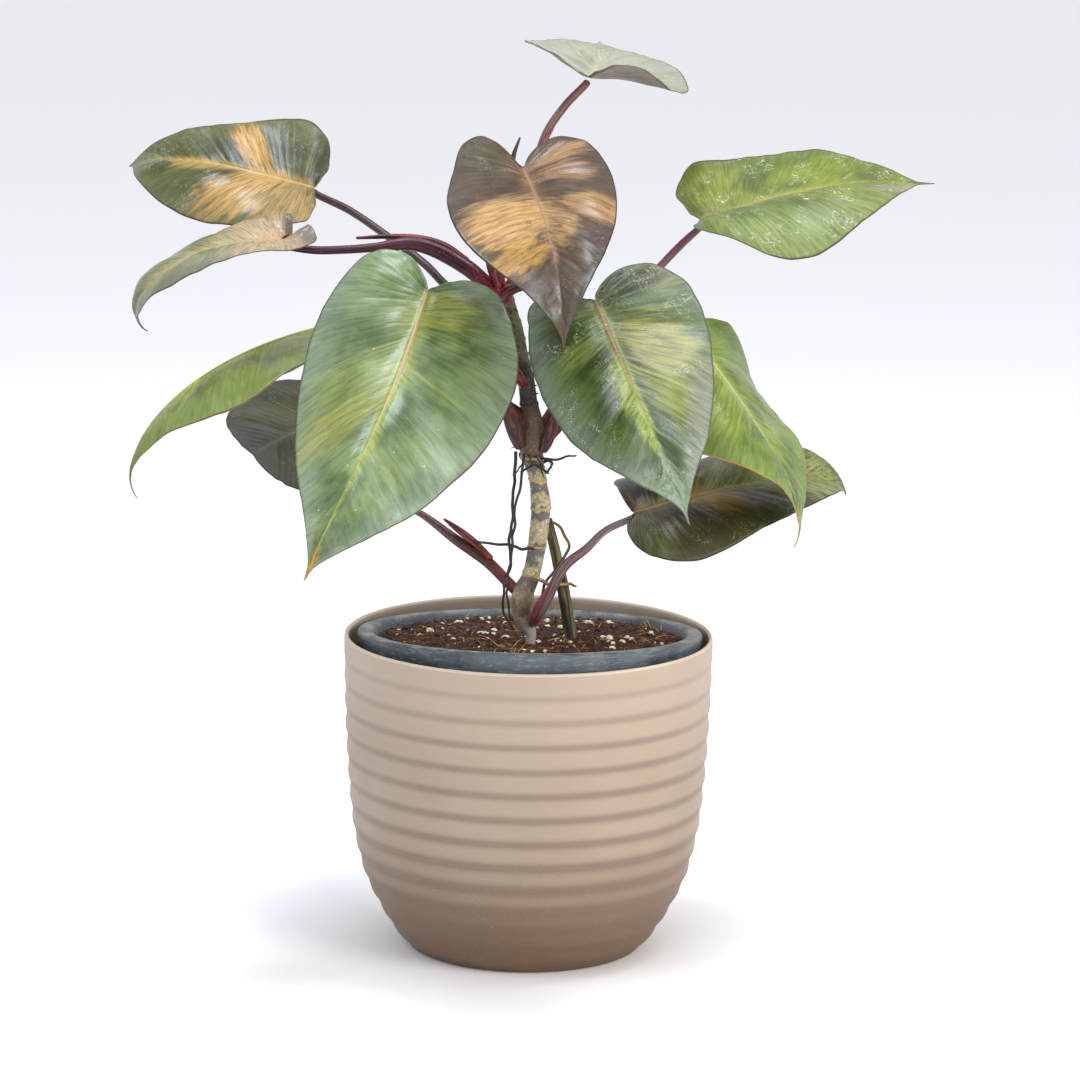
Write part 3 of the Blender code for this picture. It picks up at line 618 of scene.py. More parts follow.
# Lengths in millimetres and angles in degrees, pairs are (left, right) from the stalk. heading 0 is +X and 90 is
# +Y; droop bends the midrib, hook only its tip; fold and curl lift a half; lobe, swell are per cent of the heart;
# ripple is the margin's wave and drip the tip's extra length. Patches are colour, then across, along, width,
# height on the unrolled blade, across from -1 to 1 and along from 0 at the stalk to 1 at the tip, and strength.
leaves = (
    dict(name="leaf_01", crumple=3.0, base=(-132, 50, 449), heading=179, pitch=14, roll=-35,
         droop=50, hook=16, twist=-11, sweep=22, length=129, width=91,
         fold=(13, 2), curl=(-19, -7), lobe=(26, 34), lobeDip=(-16, -25),
         ripple=((4, 8), (3, 2)), swell=((6, 20, 0, 13, 11), (2, 20, -2, -8, -4)), drip=0.03,
         dark="#2e3114", mid="#474820", glow="#8f7a40", glowReach=0.25, midrib="#a88a5c", rim="#5c5c3c",
         edge="#3a3128", under="#7d6a4e", dust=0.25, scratch=0.25, gloss=0.36,
         patches=(("#aa8856", -0.38, 0.52, 0.6, 0.13, 0.9), ("#9c8258", -0.5, 0.34, 0.5, 0.1, 0.7),
                  ("#9c8156", -0.6, 0.2, 0.5, 0.12, 0.7), ("#a88550", 0.55, 0.56, 0.5, 0.065, 0.95),
                  ("#a98a4c", -0.1, 0.78, 0.25, 0.1, 0.6), ("#8e8466", 0.0, 0.03, 1.0, 0.08, 0.5), ("#2a2b18", 0.75, 0.16, 0.6, 0.12, 0.75),
                  ("#77785c", 0.0, 0.95, 1.1, 0.1, 0.55))),
    dict(name="leaf_02", crumple=7.0, base=(-146, -35, 429), heading=-169, pitch=-1, roll=-7,
         droop=78, hook=48, twist=-2, sweep=15, length=115, width=76,
         fold=(17, 18), curl=(-41, -46), lobe=(116, 53), lobeDip=(13, -1),
         ripple=((5, -2), (6, 6)), swell=((1, -15, 9, -7, 3), (8, -16, 3, 15, 5)), drip=0.04,
         dark="#55583a", mid="#737550", glow="#a3946a", glowReach=0.5, midrib="#93a052", rim="#6c6a58",
         edge="#3b2f2c", under="#8d6a56", dust=0.35, scratch=0.3, gloss=0.34,
         patches=(("#9f876c", -0.3, 0.3, 0.9, 0.26, 0.85), ("#a28a6e", 0.4, 0.3, 0.8, 0.22, 0.85),
                  ("#c98f5c", -0.2, 0.28, 0.4, 0.1, 0.6), ("#4c3c36", 0.0, 0.05, 1.2, 0.09, 0.9), ("#5f5650", -0.9, 0.12, 0.5, 0.1, 0.9),
                  ("#4a403a", 0.9, 0.1, 0.5, 0.09, 0.9),
                  ("#44524c", 0.0, 0.96, 1.1, 0.06, 0.8))),
    dict(name="leaf_03", base=(-117, -20, 378), heading=-146, pitch=-8, roll=15,
         droop=44, hook=33, twist=7, sweep=6, length=167, width=107,
         fold=(-24, -20), curl=(-8, -8), lobe=(106, 80), lobeDip=(-10, -10),
         ripple=((7, -3), (0, 0)), swell=((1, 1, -9, 16, -17), (0, 0, 0, 0, 0)), drip=0.085,
         dark="#535d36", mid="#79824f", glow="#959c42", glowReach=0.35, midrib="#a3a84a", rim="#6c7a48",
         edge="#6b3a24", under="#8c9a66", dust=0.12, scratch=0.08, gloss=0.36,
         patches=(("#5f6f36", -0.85, 0.75, 0.35, 0.3, 0.7), ("#6f5c22", 0.0, 1.0, 1.2, 0.07, 1.0))),
    dict(name="leaf_04", spots=0.8, base=(-60, -88, 408), heading=-105, pitch=-40, roll=-8,
         droop=7, hook=31, twist=24, sweep=14, length=199, width=132,
         fold=(-13, 1), curl=(-21, -31), lobe=(197, 99), lobeDip=(-36, 7),
         ripple=((5, -1), (3, 0)), swell=((-17, -2, 4, 5, 20), (5, 0, -2, 3, -15)), drip=0.03,
         dark="#475834", mid="#68784f", glow="#8a9549", glowReach=0.2, midrib="#aa8a5a", rim="#7b8a76",
         edge="#5b463c", under="#8a9a72", dust=0.22, scratch=0.08, gloss=0.33,
         patches=(("#8a9048", 0.45, 0.6, 0.6, 0.1, 0.35), ("#939552", -0.18, 0.33, 0.45, 0.16, 0.6),
                  ("#8f8a4c", 0.6, 0.7, 0.6, 0.06, 0.5), ("#9c8f80", 0.0, 0.04, 0.35, 0.06, 0.7),
                  ("#7d9152", 0.6, 0.16, 0.5, 0.12, 0.4), ("#c08a3a", 0.0, 1.0, 1.2, 0.035, 0.9))),
    dict(name="leaf_05", base=(-113, 50, 312), heading=-131, pitch=-5, roll=-37,
         droop=-30, hook=-11, twist=2, sweep=-25, length=124, width=86,
         fold=(-15, -6), curl=(-30, -9), lobe=(96, 98), lobeDip=(-10, -10),
         ripple=((0, 0), (1, -1)), swell=((-1, -2, -2, -4, 0), (0, 7, -7, 6, 5)), drip=0.02,
         dark="#262711", mid="#3e3e1b", glow="#66633c", glowReach=0.2, midrib="#8a8260", rim="#3e3a26",
         edge="#2e2620", under="#5c4a36", dust=0.3, scratch=0.2, gloss=0.42,
         patches=(("#5c5f38", 0.3, 0.6, 0.5, 0.2, 0.6), ("#57503c", -0.6, 0.85, 0.5, 0.15, 0.5))),
    dict(name="leaf_06", base=(-7, -60, 475), heading=-74, pitch=-22, roll=9,
         droop=14, hook=29, twist=3, sweep=12, length=156, width=100,
         fold=(32, 21), curl=(-49, -28), lobe=(69, 155), lobeDip=(-5, 2),
         ripple=((2, 3), (0, -4)), swell=((-7, -8, -9, -10, -21), (-5, 0, 11, 25, -9)), drip=0.03,
         dark="#32261a", mid="#4b3a28", glow="#7a5c46", glowReach=0.25, midrib="#8a6248", rim="#41372b",
         edge="#231c1a", under="#5c4034", dust=0.25, scratch=0.15, gloss=0.36,
         patches=(("#987856", -0.5, 0.24, 0.45, 0.07, 0.9), ("#917050", -0.45, 0.38, 0.35, 0.07, 0.7),
                  ("#9d7a4c", -0.75, 0.55, 0.4, 0.06, 0.75), ("#ab895a", 0.45, 0.62, 0.55, 0.12, 0.9),
                  ("#9d7f56", -0.22, 0.66, 0.35, 0.11, 0.85), ("#b08a4c", 0.6, 0.76, 0.5, 0.05, 0.6),
                  ("#6e5442", 0.0, 0.1, 0.6, 0.14, 0.7), ("#3b3b22", 0.65, 0.25, 0.3, 0.12, 0.8),
                  ("#3b342a", 0.0, 0.92, 1.2, 0.1, 0.7))),
    dict(name="leaf_07", base=(30, 20, 520), heading=85, pitch=-6, roll=12,
         droop=-20, hook=3, twist=-6, sweep=-7, length=157, width=105,
         fold=(26, 17), curl=(-22, -16), lobe=(123, 118), lobeDip=(3, 16),
         ripple=((0, 0), (-3, -3)), swell=((-6, -14, -12, -5, -1), (4, 16, 7, 2, 1)), drip=0.03,
         dark="#6f735c", mid="#8f917a", glow="#a49f7c", glowReach=0.3, midrib="#b09a84", rim="#7e8068",
         edge="#54463c", under="#5d4438", dust=0.35, scratch=0.1, gloss=0.34,
         patches=(("#7a5f52", 0.1, 0.05, 0.5, 0.06, 0.6), ("#8f8a6c", -0.6, 0.2, 0.5, 0.2, 0.5))),
    dict(name="leaf_08", base=(99, 30, 436), heading=13, pitch=17, roll=-2,
         droop=26, hook=-4, twist=31, sweep=-18, length=147, width=105,
         fold=(6, 16), curl=(13, -55), lobe=(10, 51), lobeDip=(-8, -12),
         ripple=((2, 1), (-5, 8)), swell=((-7, 34, -6, 8, -8), (3, 21, 8, 8, -2)), drip=0.07,
         dark="#4e5b2a", mid="#6c7734", glow="#878a44", glowReach=0.28, midrib="#b08656", rim="#5f6c34",
         edge="#4b3a30", under="#8a9668", dust=0.25, scratch=0.9, gloss=0.4,
         patches=(("#b08a5a", 0.0, 0.1, 0.3, 0.2, 0.7), ("#8d9348", -0.5, 0.35, 0.4, 0.12, 0.6),
                  ("#84906a", 0.8, 0.5, 0.3, 0.3, 0.4), ("#7e7768", 0.8, 0.9, 0.4, 0.12, 0.6),
                  ("#5d6b30", -0.6, 0.15, 0.5, 0.1, 0.6))),
    dict(name="leaf_09", base=(35, -82, 403), heading=-62, pitch=-43, roll=-7,
         droop=-12, hook=12, twist=-14, sweep=7, length=161, width=106,
         fold=(21, -20), curl=(0, -43), lobe=(81, 101), lobeDip=(-1, -31),
         ripple=((2, 3), (2, 0)), swell=((22, 9, 4, -2, -31), (-13, -5, -1, 5, 11)), drip=0.045,
         dark="#2e3a1a", mid="#465729", glow="#78854a", glowReach=0.17, midrib="#8d5f48", rim="#6d7a66",
         edge="#5a4c44", under="#7f8c66", dust=0.55, scratch=0.55, gloss=0.36,
         patches=(("#918f50", -0.5, 0.48, 0.42, 0.13, 0.75), ("#858a4c", -0.5, 0.64, 0.38, 0.1, 0.6),
                  ("#8d8a50", -0.8, 0.22, 0.25, 0.08, 0.45), ("#8a9a4a", 0.08, 0.74, 0.25, 0.16, 0.8),
                  ("#6d7c45", 0.5, 0.45, 0.3, 0.05, 0.6), ("#232d12", -0.42, 0.18, 0.6, 0.1, 0.9),
                  ("#8c8a80", -0.92, 0.7, 0.2, 0.25, 0.45), ("#6f7d6a", 0.0, 0.94, 1.2, 0.08, 0.7),
                  ("#8b8478", 0.1, 0.03, 0.4, 0.05, 0.7))),
    dict(name="leaf_10", base=(93, -30, 375), heading=-32, pitch=-45, roll=-10,
         droop=15, hook=35, twist=-20, sweep=0, length=134, width=96,
         fold=(13, 4), curl=(1, -80), lobe=(58, 99), lobeDip=(-12, -10),
         ripple=((-8, 4), (-1, 7)), swell=((-2, 13, -14, 15, 1), (0, -1, 13, 14, -5)), drip=0.07,
         dark="#465626", mid="#667636", glow="#929c48", glowReach=0.28, midrib="#a9b360", rim="#6f8448",
         edge="#b0743a", under="#92a05c", dust=0.18, scratch=0.25, gloss=0.26,
         patches=(("#8e9a4c", 0.4, 0.6, 0.4, 0.08, 0.45), ("#8f9c4c", -0.3, 0.75, 0.35, 0.08, 0.4),
                  ("#c97a2c", -0.6, 0.97, 0.5, 0.04, 0.9), ("#d9822c", 0.0, 0.99, 0.3, 0.03, 1.0))),
    dict(name="leaf_11", base=(61, -35, 271), heading=10, pitch=15, roll=18,
         droop=31, hook=47, twist=18, sweep=-16, length=146, width=100,
         fold=(17, 20), curl=(-53, -40), lobe=(15, 51), lobeDip=(-15, -19),
         ripple=((-1, 5), (-6, -2)), swell=((2, 26, -3, -2, 12), (16, 12, 1, 3, -4)), drip=0.02,
         dark="#1b1508", mid="#35290f", glow="#75622f", glowReach=0.3, midrib="#8f7a4a", rim="#4a4c30",
         edge="#2c241c", under="#5c4c34", dust=0.4, scratch=0.3, gloss=0.4,
         patches=(("#8a6a2c", 0.15, 0.58, 0.5, 0.08, 0.8), ("#6d7048", -0.5, 0.66, 0.6, 0.12, 0.8),
                  ("#7a8450", 0.0, 0.86, 1.2, 0.16, 0.9), ("#5f6340", 0.65, 0.2, 0.4, 0.15, 0.6),
                  ("#7d5a2e", -0.25, 0.2, 0.3, 0.04, 0.7))),
)


def leafAxes(leaf):
    heading, pitch, roll = (math.radians(leaf[key]) for key in ("heading", "pitch", "roll"))
    along = Vector((math.cos(heading) * math.cos(pitch), math.sin(heading) * math.cos(pitch), math.sin(pitch)))
    normal = Vector((-math.cos(heading) * math.sin(pitch), -math.sin(heading) * math.sin(pitch), math.cos(pitch)))
    normal = Matrix.Rotation(roll, 3, along) @ normal
    return np.array(along), np.array(normal), np.array(along.cross(normal))


def leafMidrib(leaf, steps=72):
    # stations along the bent midrib: place, normal and right side, with the share of the length of each
    along, normal, right = leafAxes(leaf)
    s = np.linspace(0, bladeMake["midribReach"], steps)
    bend = (-math.radians(leaf["droop"]) * s ** 1.5 - math.radians(leaf["hook"]) * s ** 8)[:, None]
    yaw = (math.radians(leaf["sweep"]) * s)[:, None]
    turn = (math.radians(leaf["twist"]) * s)[:, None]
    forward = along * np.cos(bend) + normal * np.sin(bend)
    upward = normal * np.cos(bend) - along * np.sin(bend)
    side = right * np.cos(yaw) - forward * np.sin(yaw)
    forward = forward * np.cos(yaw) + right * np.sin(yaw)
    step = leaf["length"] * bladeMake["midribReach"] / (steps - 1)
    place = np.array(leaf["base"]) + np.concatenate(
        ([[0, 0, 0]], np.cumsum((forward[1:] + forward[:-1]) / 2 * step, axis=0)))
    return s, place, upward * np.cos(turn) + side * np.sin(turn), side * np.cos(turn) - upward * np.sin(turn)


def leafMargin(leaf, half, v):
    # flat margin points of one half, from the sinus at v = 0 to the drip tip at v = 1
    drip = leaf["drip"]
    tip = ((0.034, 0.962), (0.012, 0.99), (0.006, 1 + 0.45 * drip), (0, 1 + drip))
    points = []
    for x, y in (*heart, *tip):
        widen = 1 + np.interp(y, swellStations, leaf["swell"][half]) / 100
        lengthen = leaf["lobe"][half] / 100 if y < 0 else 1
        points.append((x * widen * leaf["width"], y * lengthen * leaf["length"]))
    line = smoothLine(points, 12)
    walked = np.concatenate(([0], np.cumsum(np.hypot(*np.diff(line, axis=0).T))))
    places = v * walked[-1]
    return np.maximum(np.interp(places, walked, line[:, 0]), 0), np.interp(places, walked, line[:, 1])


def softStep(value):
    value = np.clip(value, 0, 1)
    return value * value * (3 - 2 * value)


def leafPoints(leaf, u, v):
    right = u > 0
    out = np.abs(u) ** 1.15
    length, halfWidth = leaf["length"], leaf["width"] / 2
    marginX, marginY = (np.where(right, b, a)
                        for a, b in zip(leafMargin(leaf, 0, v), leafMargin(leaf, 1, v)))
    pick = [np.where(right, pair[1], pair[0]) for pair in (leaf["fold"], leaf["curl"], leaf["lobeDip"])]
    fold, curl, dip = np.radians(pick[0]), np.radians(pick[1]) / halfWidth, np.radians(pick[2])
    x = out * marginX
    y = (1 - out) * v ** bladeMake["veinSweep"] * length + out * marginY
    s, places, normals, sides = leafMidrib(leaf)
    share = np.maximum(y / length, 0)
    point, normal, side = (np.stack([np.interp(share, s, rows[:, k]) for k in range(3)], -1)
                           for rows in (places, normals, sides))
    along, normalBase, _ = leafAxes(leaf)
    behind = np.minimum(y, 0)[:, None]
    point = point + (along * np.cos(dip)[:, None] - normalBase * np.sin(dip)[:, None]) * behind
    curl = np.where(np.abs(curl) < 1e-6, 1e-6, curl)
    across = (np.sin(fold + curl * x) - np.sin(fold)) / curl
    lift = (np.cos(fold) - np.cos(fold + curl * x)) / curl
    wave = 2 * math.pi * (y / length + 0.1) / 1.1
    sine = np.where(right, leaf["ripple"][1][0], leaf["ripple"][0][0])
    cosine = np.where(right, leaf["ripple"][1][1], leaf["ripple"][0][1])
    lift += (x / halfWidth) ** 2 * (sine * np.sin(wave) + cosine * np.cos(wave))
    # the blade swells between the side veins, which lie in shallow channels, and the midrib is a ridge in a channel
    phase = v * bladeMake["veins"] + np.where(right, 0.5, 0.0)
    inside = softStep(out / 0.2) * softStep((1 - out) / 0.35) * softStep(v / 0.1) * softStep((1 - v) / 0.1)
    swelling = np.abs(np.sin(np.pi * phase)) ** 0.7 - 0.6
    fine = np.sin(2 * np.pi * v * bladeMake["fineVeins"])
    lift += inside * (bladeMake["relief"] * leaf["length"] / 150 * swelling + bladeMake["fineRelief"] * fine)
    taper = softStep((1.02 - v) / 0.5) * softStep(v / 0.04)
    lift += taper * (0.7 * np.exp(-(x / 1.1) ** 2) - 0.35 * np.exp(-(x / 6.0) ** 2))
    seed = sum(leaf["base"])
    uneven = np.array([noise.noise(Vector((a / 26, b / 26, seed))) for a, b in zip(np.where(right, x, -x), y)])
    frill = np.array([noise.noise(Vector((a / 9 + 7, b / 9, seed))) for a, b in zip(np.where(right, x, -x), y)])
    lift += 1.3 * uneven * softStep(out / 0.3) + 0.7 * frill * softStep((out - 0.75) / 0.25) * softStep((1 - v) / 0.1)
    crumple = leaf.get("crumple", 1.0) * softStep((0.3 - v) / 0.22) * softStep(out / 0.6)
    lobeFolds = np.array([noise.noise(Vector((a / 17, b / 13, seed + 4))) for a, b in zip(np.where(right, x, -x), y)])
    lift += 2.2 * crumple * lobeFolds
    return point + side * np.where(right, across, -across)[:, None] + normal * lift[:, None]


def leafMaterial(leaf, underside=False):
    # a waxy aroid blade: satin cuticle with fine streaks along its side veins, dusty in places
    name = "waxyLeaf" + leaf["name"][-2:] + ("Under" if underside else "")
    material, shader = newMaterial(name, leaf["mid"], leaf["gloss"], Specular_IOR_Level=0.33)
    place = objectPlace(material)
    uv = addNode(material, "ShaderNodeUVMap", uv_map="UVMap").outputs[0]
    split = addNode(material, "ShaderNodeSeparateXYZ", {0: uv})
    across = mathNode(material, "MULTIPLY_ADD", split.outputs[0], 2.0, -1.0)
    along = split.outputs[1]
    out = mathNode(material, "ABSOLUTE", across)
    streakPlace = addNode(material, "ShaderNodeMapping", {"Vector": uv, "Scale": (7, 95, 1)}).outputs[0]
    streak = noiseNode(material, streakPlace, 1.0, 4, 0.6, 0.35)
    mottle = noiseNode(material, place, 1 / (24 * mm), 4)
    if underside:
        tone = blendNode(material, rampNode(material, mottle, 0.35, 0.65, 0.0, 0.5), leaf["under"], leaf["dark"])
    else:
        tone = blendNode(material, rampNode(material, mottle, 0.35, 0.62), leaf["dark"], leaf["mid"])
        tone = blendNode(material, rampNode(material, out, 0.55, 1.0, 0.0, 0.6), tone, leaf["rim"])
        glow = mathNode(material, "MULTIPLY", rampNode(material, out, 0.02, leaf["glowReach"], 0.85, 0.0),
                        rampNode(material, streak, 0.3, 0.7, 0.45, 1.0))
        tone = blendNode(material, glow, tone, leaf["glow"])
        patchPlace = addNode(material, "ShaderNodeMapping", {"Vector": uv, "Scale": (4.5, 34, 1)}).outputs[0]
        ragged = noiseNode(material, patchPlace, 1.0, 5, 0.65, 0.8)
        for colour, acrossMiddle, alongMiddle, width, height, strength in leaf["patches"]:
            middle = (0.5 + acrossMiddle / 2, alongMiddle, 0)
            offset = addNode(material, "ShaderNodeVectorMath", {0: uv, 1: middle}, operation="SUBTRACT").outputs[0]
            shrunk = addNode(material, "ShaderNodeVectorMath", {0: offset, 1: (width / 2, height, 1.0)},
                             operation="DIVIDE").outputs[0]
            reach = addNode(material, "ShaderNodeVectorMath", {0: shrunk}, operation="LENGTH").outputs["Value"]
            # the ragged noise eats into the patch from its rim, along the veins
            edge = mathNode(material, "MULTIPLY_ADD", ragged, -1.7, mathNode(material, "ADD", reach, 0.85))
            share = mathNode(material, "MULTIPLY", rampNode(material, edge, 0.55, 1.25, strength, 0.0),
                             rampNode(material, streak, 0.32, 0.55, 0.5, 1.0))
            tone = blendNode(material, share, tone, colour)
        # side veins: thin lines, paler than the blade and fading outwards
        halfStep = mathNode(material, "MULTIPLY", mathNode(material, "GREATER_THAN", across, 0.0), 0.5)
        phase = mathNode(material, "MULTIPLY_ADD", along, float(bladeMake["veins"]), halfStep)
        toVein = mathNode(material, "PINGPONG", phase, 0.5)
        vein = mathNode(material, "MULTIPLY", rampNode(material, toVein, 0.0, 0.06, 0.4, 0.0),
                        rampNode(material, out, 0.15, 0.85, 1.0, 0.0))
        tone = blendNode(material, vein, tone, leaf["glow"])
    shade = addNode(material, "ShaderNodeHueSaturation",
                    {"Saturation": 1.08, "Color": tone,
                     "Value": rampNode(material, streak, 0.3, 0.7, 0.82, 1.2)})
    tone = shade.outputs[0]
    ribShare = rampNode(material, mathNode(material, "MULTIPLY_ADD", along, 0.012, out), 0.016, 0.05, 0.9, 0.0)
    tone = blendNode(material, mathNode(material, "MULTIPLY", ribShare, rampNode(material, along, 0.55, 1.0, 1.0, 0.25)),
                     tone, leaf["midrib"])
    dust = noiseNode(material, place, 1 / (0.9 * mm), 2, 0.7)
    drift = noiseNode(material, place, 1 / (17 * mm), 3)
    dusty = mathNode(material, "MULTIPLY", rampNode(material, dust, 0.62, 0.7),
                     rampNode(material, drift, 0.42, 0.68, 0.1, 1.0))
    tone = blendNode(material, mathNode(material, "MULTIPLY", dusty, leaf["dust"] * 1.3), tone, "#d6d6c8")
    # a few small rusty spots
    spots = addNode(material, "ShaderNodeTexVoronoi", {"Vector": place, "Scale": 1 / (15 * mm)}).outputs["Distance"]
    tone = blendNode(material, rampNode(material, spots, 0.03, 0.055, leaf.get("spots", 0.3), 0.0), tone, "#c98f66")
    # scratches: thin wandering lines of torn cuticle
    wander = noiseNode(material, place, 1 / (11 * mm), 4, 0.6, 1.4)
    line = rampNode(material, mathNode(material, "ABSOLUTE", mathNode(material, "SUBTRACT", wander, 0.5)),
                    0.0, 0.009, 1.0, 0.0)
    torn = mathNode(material, "MULTIPLY", line, rampNode(material, drift, 0.5, 0.62, 0.0, leaf["scratch"]))
    tone = blendNode(material, torn, tone, "#e3e2d6")
    tone = blendNode(material, rampNode(material, out, 0.982, 0.996), tone, leaf["edge"])
    roughness = mathNode(material, "MULTIPLY_ADD", streak, 0.24, leaf["gloss"] - 0.16 + (0.12 if underside else 0))
    linkFinish(material, shader, tone, roughness, streak, 0.22, 0.8)
    return material


def edgeMaterial(leaf):
    # the blade's cut-thin margin, dried to a brown line
    material, shader = newMaterial("driedMargin" + leaf["name"][-2:], leaf["edge"], 0.5)
    patch = noiseNode(material, objectPlace(material), 1 / (6 * mm), 2)
    linkFinish(material, shader, blendNode(material, patch, leaf["edge"], leaf["rim"]))
    return material


def addLeaf(leaf):
    number = leaf["name"][-2:]
    piece, u, v = addGrid("leafBlade" + number, bladeMake["columns"], bladeMake["rows"])
    moveVertices(piece, leafPoints(leaf, u, v) * mm)
    closeSeams(piece, 2e-6, recalculate=False)
    onlySelect(piece)
    bpy.ops.object.shade_smooth()
    bronze = leaf["name"] in ("leaf_01", "leaf_05", "leaf_06", "leaf_11")
    finishPiece(piece, "bronze_blade" if bronze else "green_blade", [leaf["name"]],
                leafMaterial(leaf), leafMaterial(leaf, underside=True), edgeMaterial(leaf))
    skin = piece.modifiers.new("thickness", "SOLIDIFY")
    skin.thickness = bladeMake["thickness"] * mm
    skin.offset = -1
    skin.material_offset = 1
    skin.material_offset_rim = 2
    bpy.ops.object.modifier_apply(modifier=skin.name)


for oneLeaf in leaves:
    addLeaf(oneLeaf)
print("leaf blades done")

# ---- leaf stalks, stems and roots: routes of x, y, z and radius in millimetres

stalks = {
    "petiole_01": ((-8, -28, 361, 3.0), (-8, -21.5, 366, 3.0), (-30, -15, 384, 2.8), (-51, 0, 398, 2.6), (-65, 10, 410, 2.5),
                   (-87, 30, 423, 2.4), (-110, 45, 436, 2.3), (-129, 51, 444, 2.2), (-133, 51, 447.4, 2.1)),
    "petiole_02": ((-17, -30, 397, 4.2), (-27, -30, 404, 4.4), (-39, -27, 413, 4.8), (-56, -24, 422, 4.5), (-72, -24, 426, 4.0),
                   (-92, -27, 424, 2.8), (-110, -31, 423, 2.5), (-127, -35, 423, 2.4), (-143, -35, 425, 2.2),
                   (-147, -35, 427.4, 2.1)),
    "petiole_03": ((-2, -30, 324, 3.4), (-9, -30, 329, 3.4), (-36, -26, 345, 2.9), (-66, -22, 360, 2.6), (-95, -20, 370, 2.4),
                   (-114, -19, 374, 2.2), (-119, -20.5, 375.6, 2.1)),
    "petiole_04": ((-5, -32, 345, 3.2), (-8, -39, 351, 3.2), (-20, -47, 368, 2.9), (-35, -60, 387, 2.7), (-47, -73, 398, 2.5),
                   (-55.5, -83, 402, 2.3), (-60, -87, 405.4, 2.2)),
    "petiole_05": ((-4, -29, 218, 3.3), (-12, -27, 226, 3.3), (-26, -20, 238, 3.4), (-45, -10, 249, 3.0), (-66, 5, 261, 2.1),
                   (-88, 28, 265, 1.9), (-105, 48, 276, 1.8), (-115, 56, 294, 1.8), (-116, 54, 305, 1.8),
                   (-114, 51, 309.6, 1.8)),
    "petiole_06": ((-19, -31, 403, 3.0), (-20, -34, 411, 3.0), (-21, -27, 424, 2.8), (-19, -22, 440, 2.6), (-15, -28, 456, 2.5),
                   (-11, -42, 467, 2.4), (-8, -56, 472, 2.2), (-7, -60, 473.3, 2.1)),
    "petiole_07": ((-15, -28, 402, 2.9), (-10, -24, 410, 2.9), (-7, -15, 428, 2.8), (-2, -8, 457, 2.6), (5, 0, 486, 2.5),
                   (16, 9, 503, 2.4), (28, 18, 515, 2.2), (30.5, 20, 518, 2.1)),
    "petiole_08": ((2, -29, 316, 3.2), (10, -26, 326, 3.2), (25, -10, 351, 2.7), (48, 5, 380, 2.4), (72, 18, 406, 2.3),
                   (87, 26, 421, 2.3), (97, 29, 430, 2.1), (100, 30, 433.6, 2.0)),
    "petiole_09": ((-17, -31, 396, 3.0), (-14, -38, 401, 3.0), (-5, -43, 405, 2.8), (8, -55, 404, 2.6), (21, -68, 399, 2.4),
                   (32.5, -78, 398, 2.2), (36, -81.6, 400, 2.1)),
    "petiole_10": ((3, -28, 306, 3.2), (11, -24, 314, 3.2), (34, -20, 338, 2.8), (63, -21, 359, 2.5), (82, -26, 368, 2.3),
                   (91, -30, 370, 2.1), (94, -30.6, 372.4, 2.0)),
    "petiole_11": ((1, -28, 201, 2.6), (4.5, -39, 208.5, 3.2), (10.5, -45, 221, 3.2), (20, -47, 240, 2.9), (33, -45, 251, 2.5),
                   (44, -41, 261, 2.2), (58, -36, 267, 2.0), (62, -35.2, 269, 1.9)),
}
stalkColours = {
    # dark skin, lighter streaks, and the tint near the stem
    "plain": ("#2c1017", "#5c2a2a", "#6e1a24"), "petiole_01": ("#2a1513", "#4c2a26", "#5a2422"),
    "petiole_02": ("#2e0f18", "#5a2430", "#8c1628"), "petiole_05": ("#43231f", "#744a3e", "#6e2a26"),
    "petiole_07": ("#4c2a2a", "#7d5248", "#8c1c30"), "petiole_08": ("#542f34", "#84545a", "#5c2230"),
    "petiole_11": ("#5c4043", "#93787a", "#74303e"),
}
# pointed sheaths left on the stalks, and the split sheaths at the crowded node
sheaths = (
    ("stalkSheath02", ((-38, -25, 416, 2.6), (-52, -23, 424.5, 3.4), (-66, -22, 428.6, 3.0), (-82, -22, 429.8, 2.2),
                       (-104, -23.5, 428.8, 1.1)), "petiole_02", 0.75),
    ("stalkSheath05", ((-22, -23, 239, 2.4), (-33, -18.5, 248.5, 3.3), (-43, -14.5, 255.5, 2.8),
                       (-51.5, -13.5, 261.5, 0.9)), "petiole_05", 0.7),
    ("stalkSheath07", ((-3, -12.5, 462, 1.0), (1, -8.5, 474, 1.8), (5, -4, 484, 1.5), (10.5, -1, 492, 0.3)),
     "petiole_07", 0.5),
    ("stalkSheath11", ((1.5, -45, 208, 1.6), (5, -48, 217, 2.2), (8.5, -49, 224, 1.5), (12, -49.6, 231, 0.3)),
     "petiole_11", 0.55),
    ("topSheath", ((-20, -36.5, 402, 1.6), (-24, -36, 412, 2.6), (-26, -33, 421, 2.0), (-24, -29, 430, 0.3)),
     "petiole_02", 0.5),
)
oldSheaths = {
    "old_sheath_left": ((-6, -37, 308, 3.0), (-9, -39, 317, 4.6), (-12, -42, 328, 4.8), (-16, -44, 341, 1.6)),
    "old_sheath_right": ((6, -36, 306, 2.6), (9, -36, 313, 3.8), (12, -37, 324, 3.8), (15, -38, 335, 1.2)),
}
stemRoute = ((1, -30, 166, 2.6), (1, -30, 188, 2.8), (1, -30, 197, 3.4), (-3, -30, 205, 5.6), (-4, -30, 214, 6.2),
             (-3, -30, 222, 6.4), (1, -30, 232, 5.2), (4, -30, 249, 5.3), (6, -30, 272, 5.8), (4, -30, 289, 5.2),
             (1, -30, 301, 6.0), (0, -30, 311, 8.2), (0, -30, 322, 6.6), (-2, -30, 336, 5.0), (-4, -30, 349, 4.9),
             (-7, -30, 361, 4.6), (-10, -30, 378, 4.2), (-15, -30, 394, 4.0), (-18, -30, 404, 5.2))
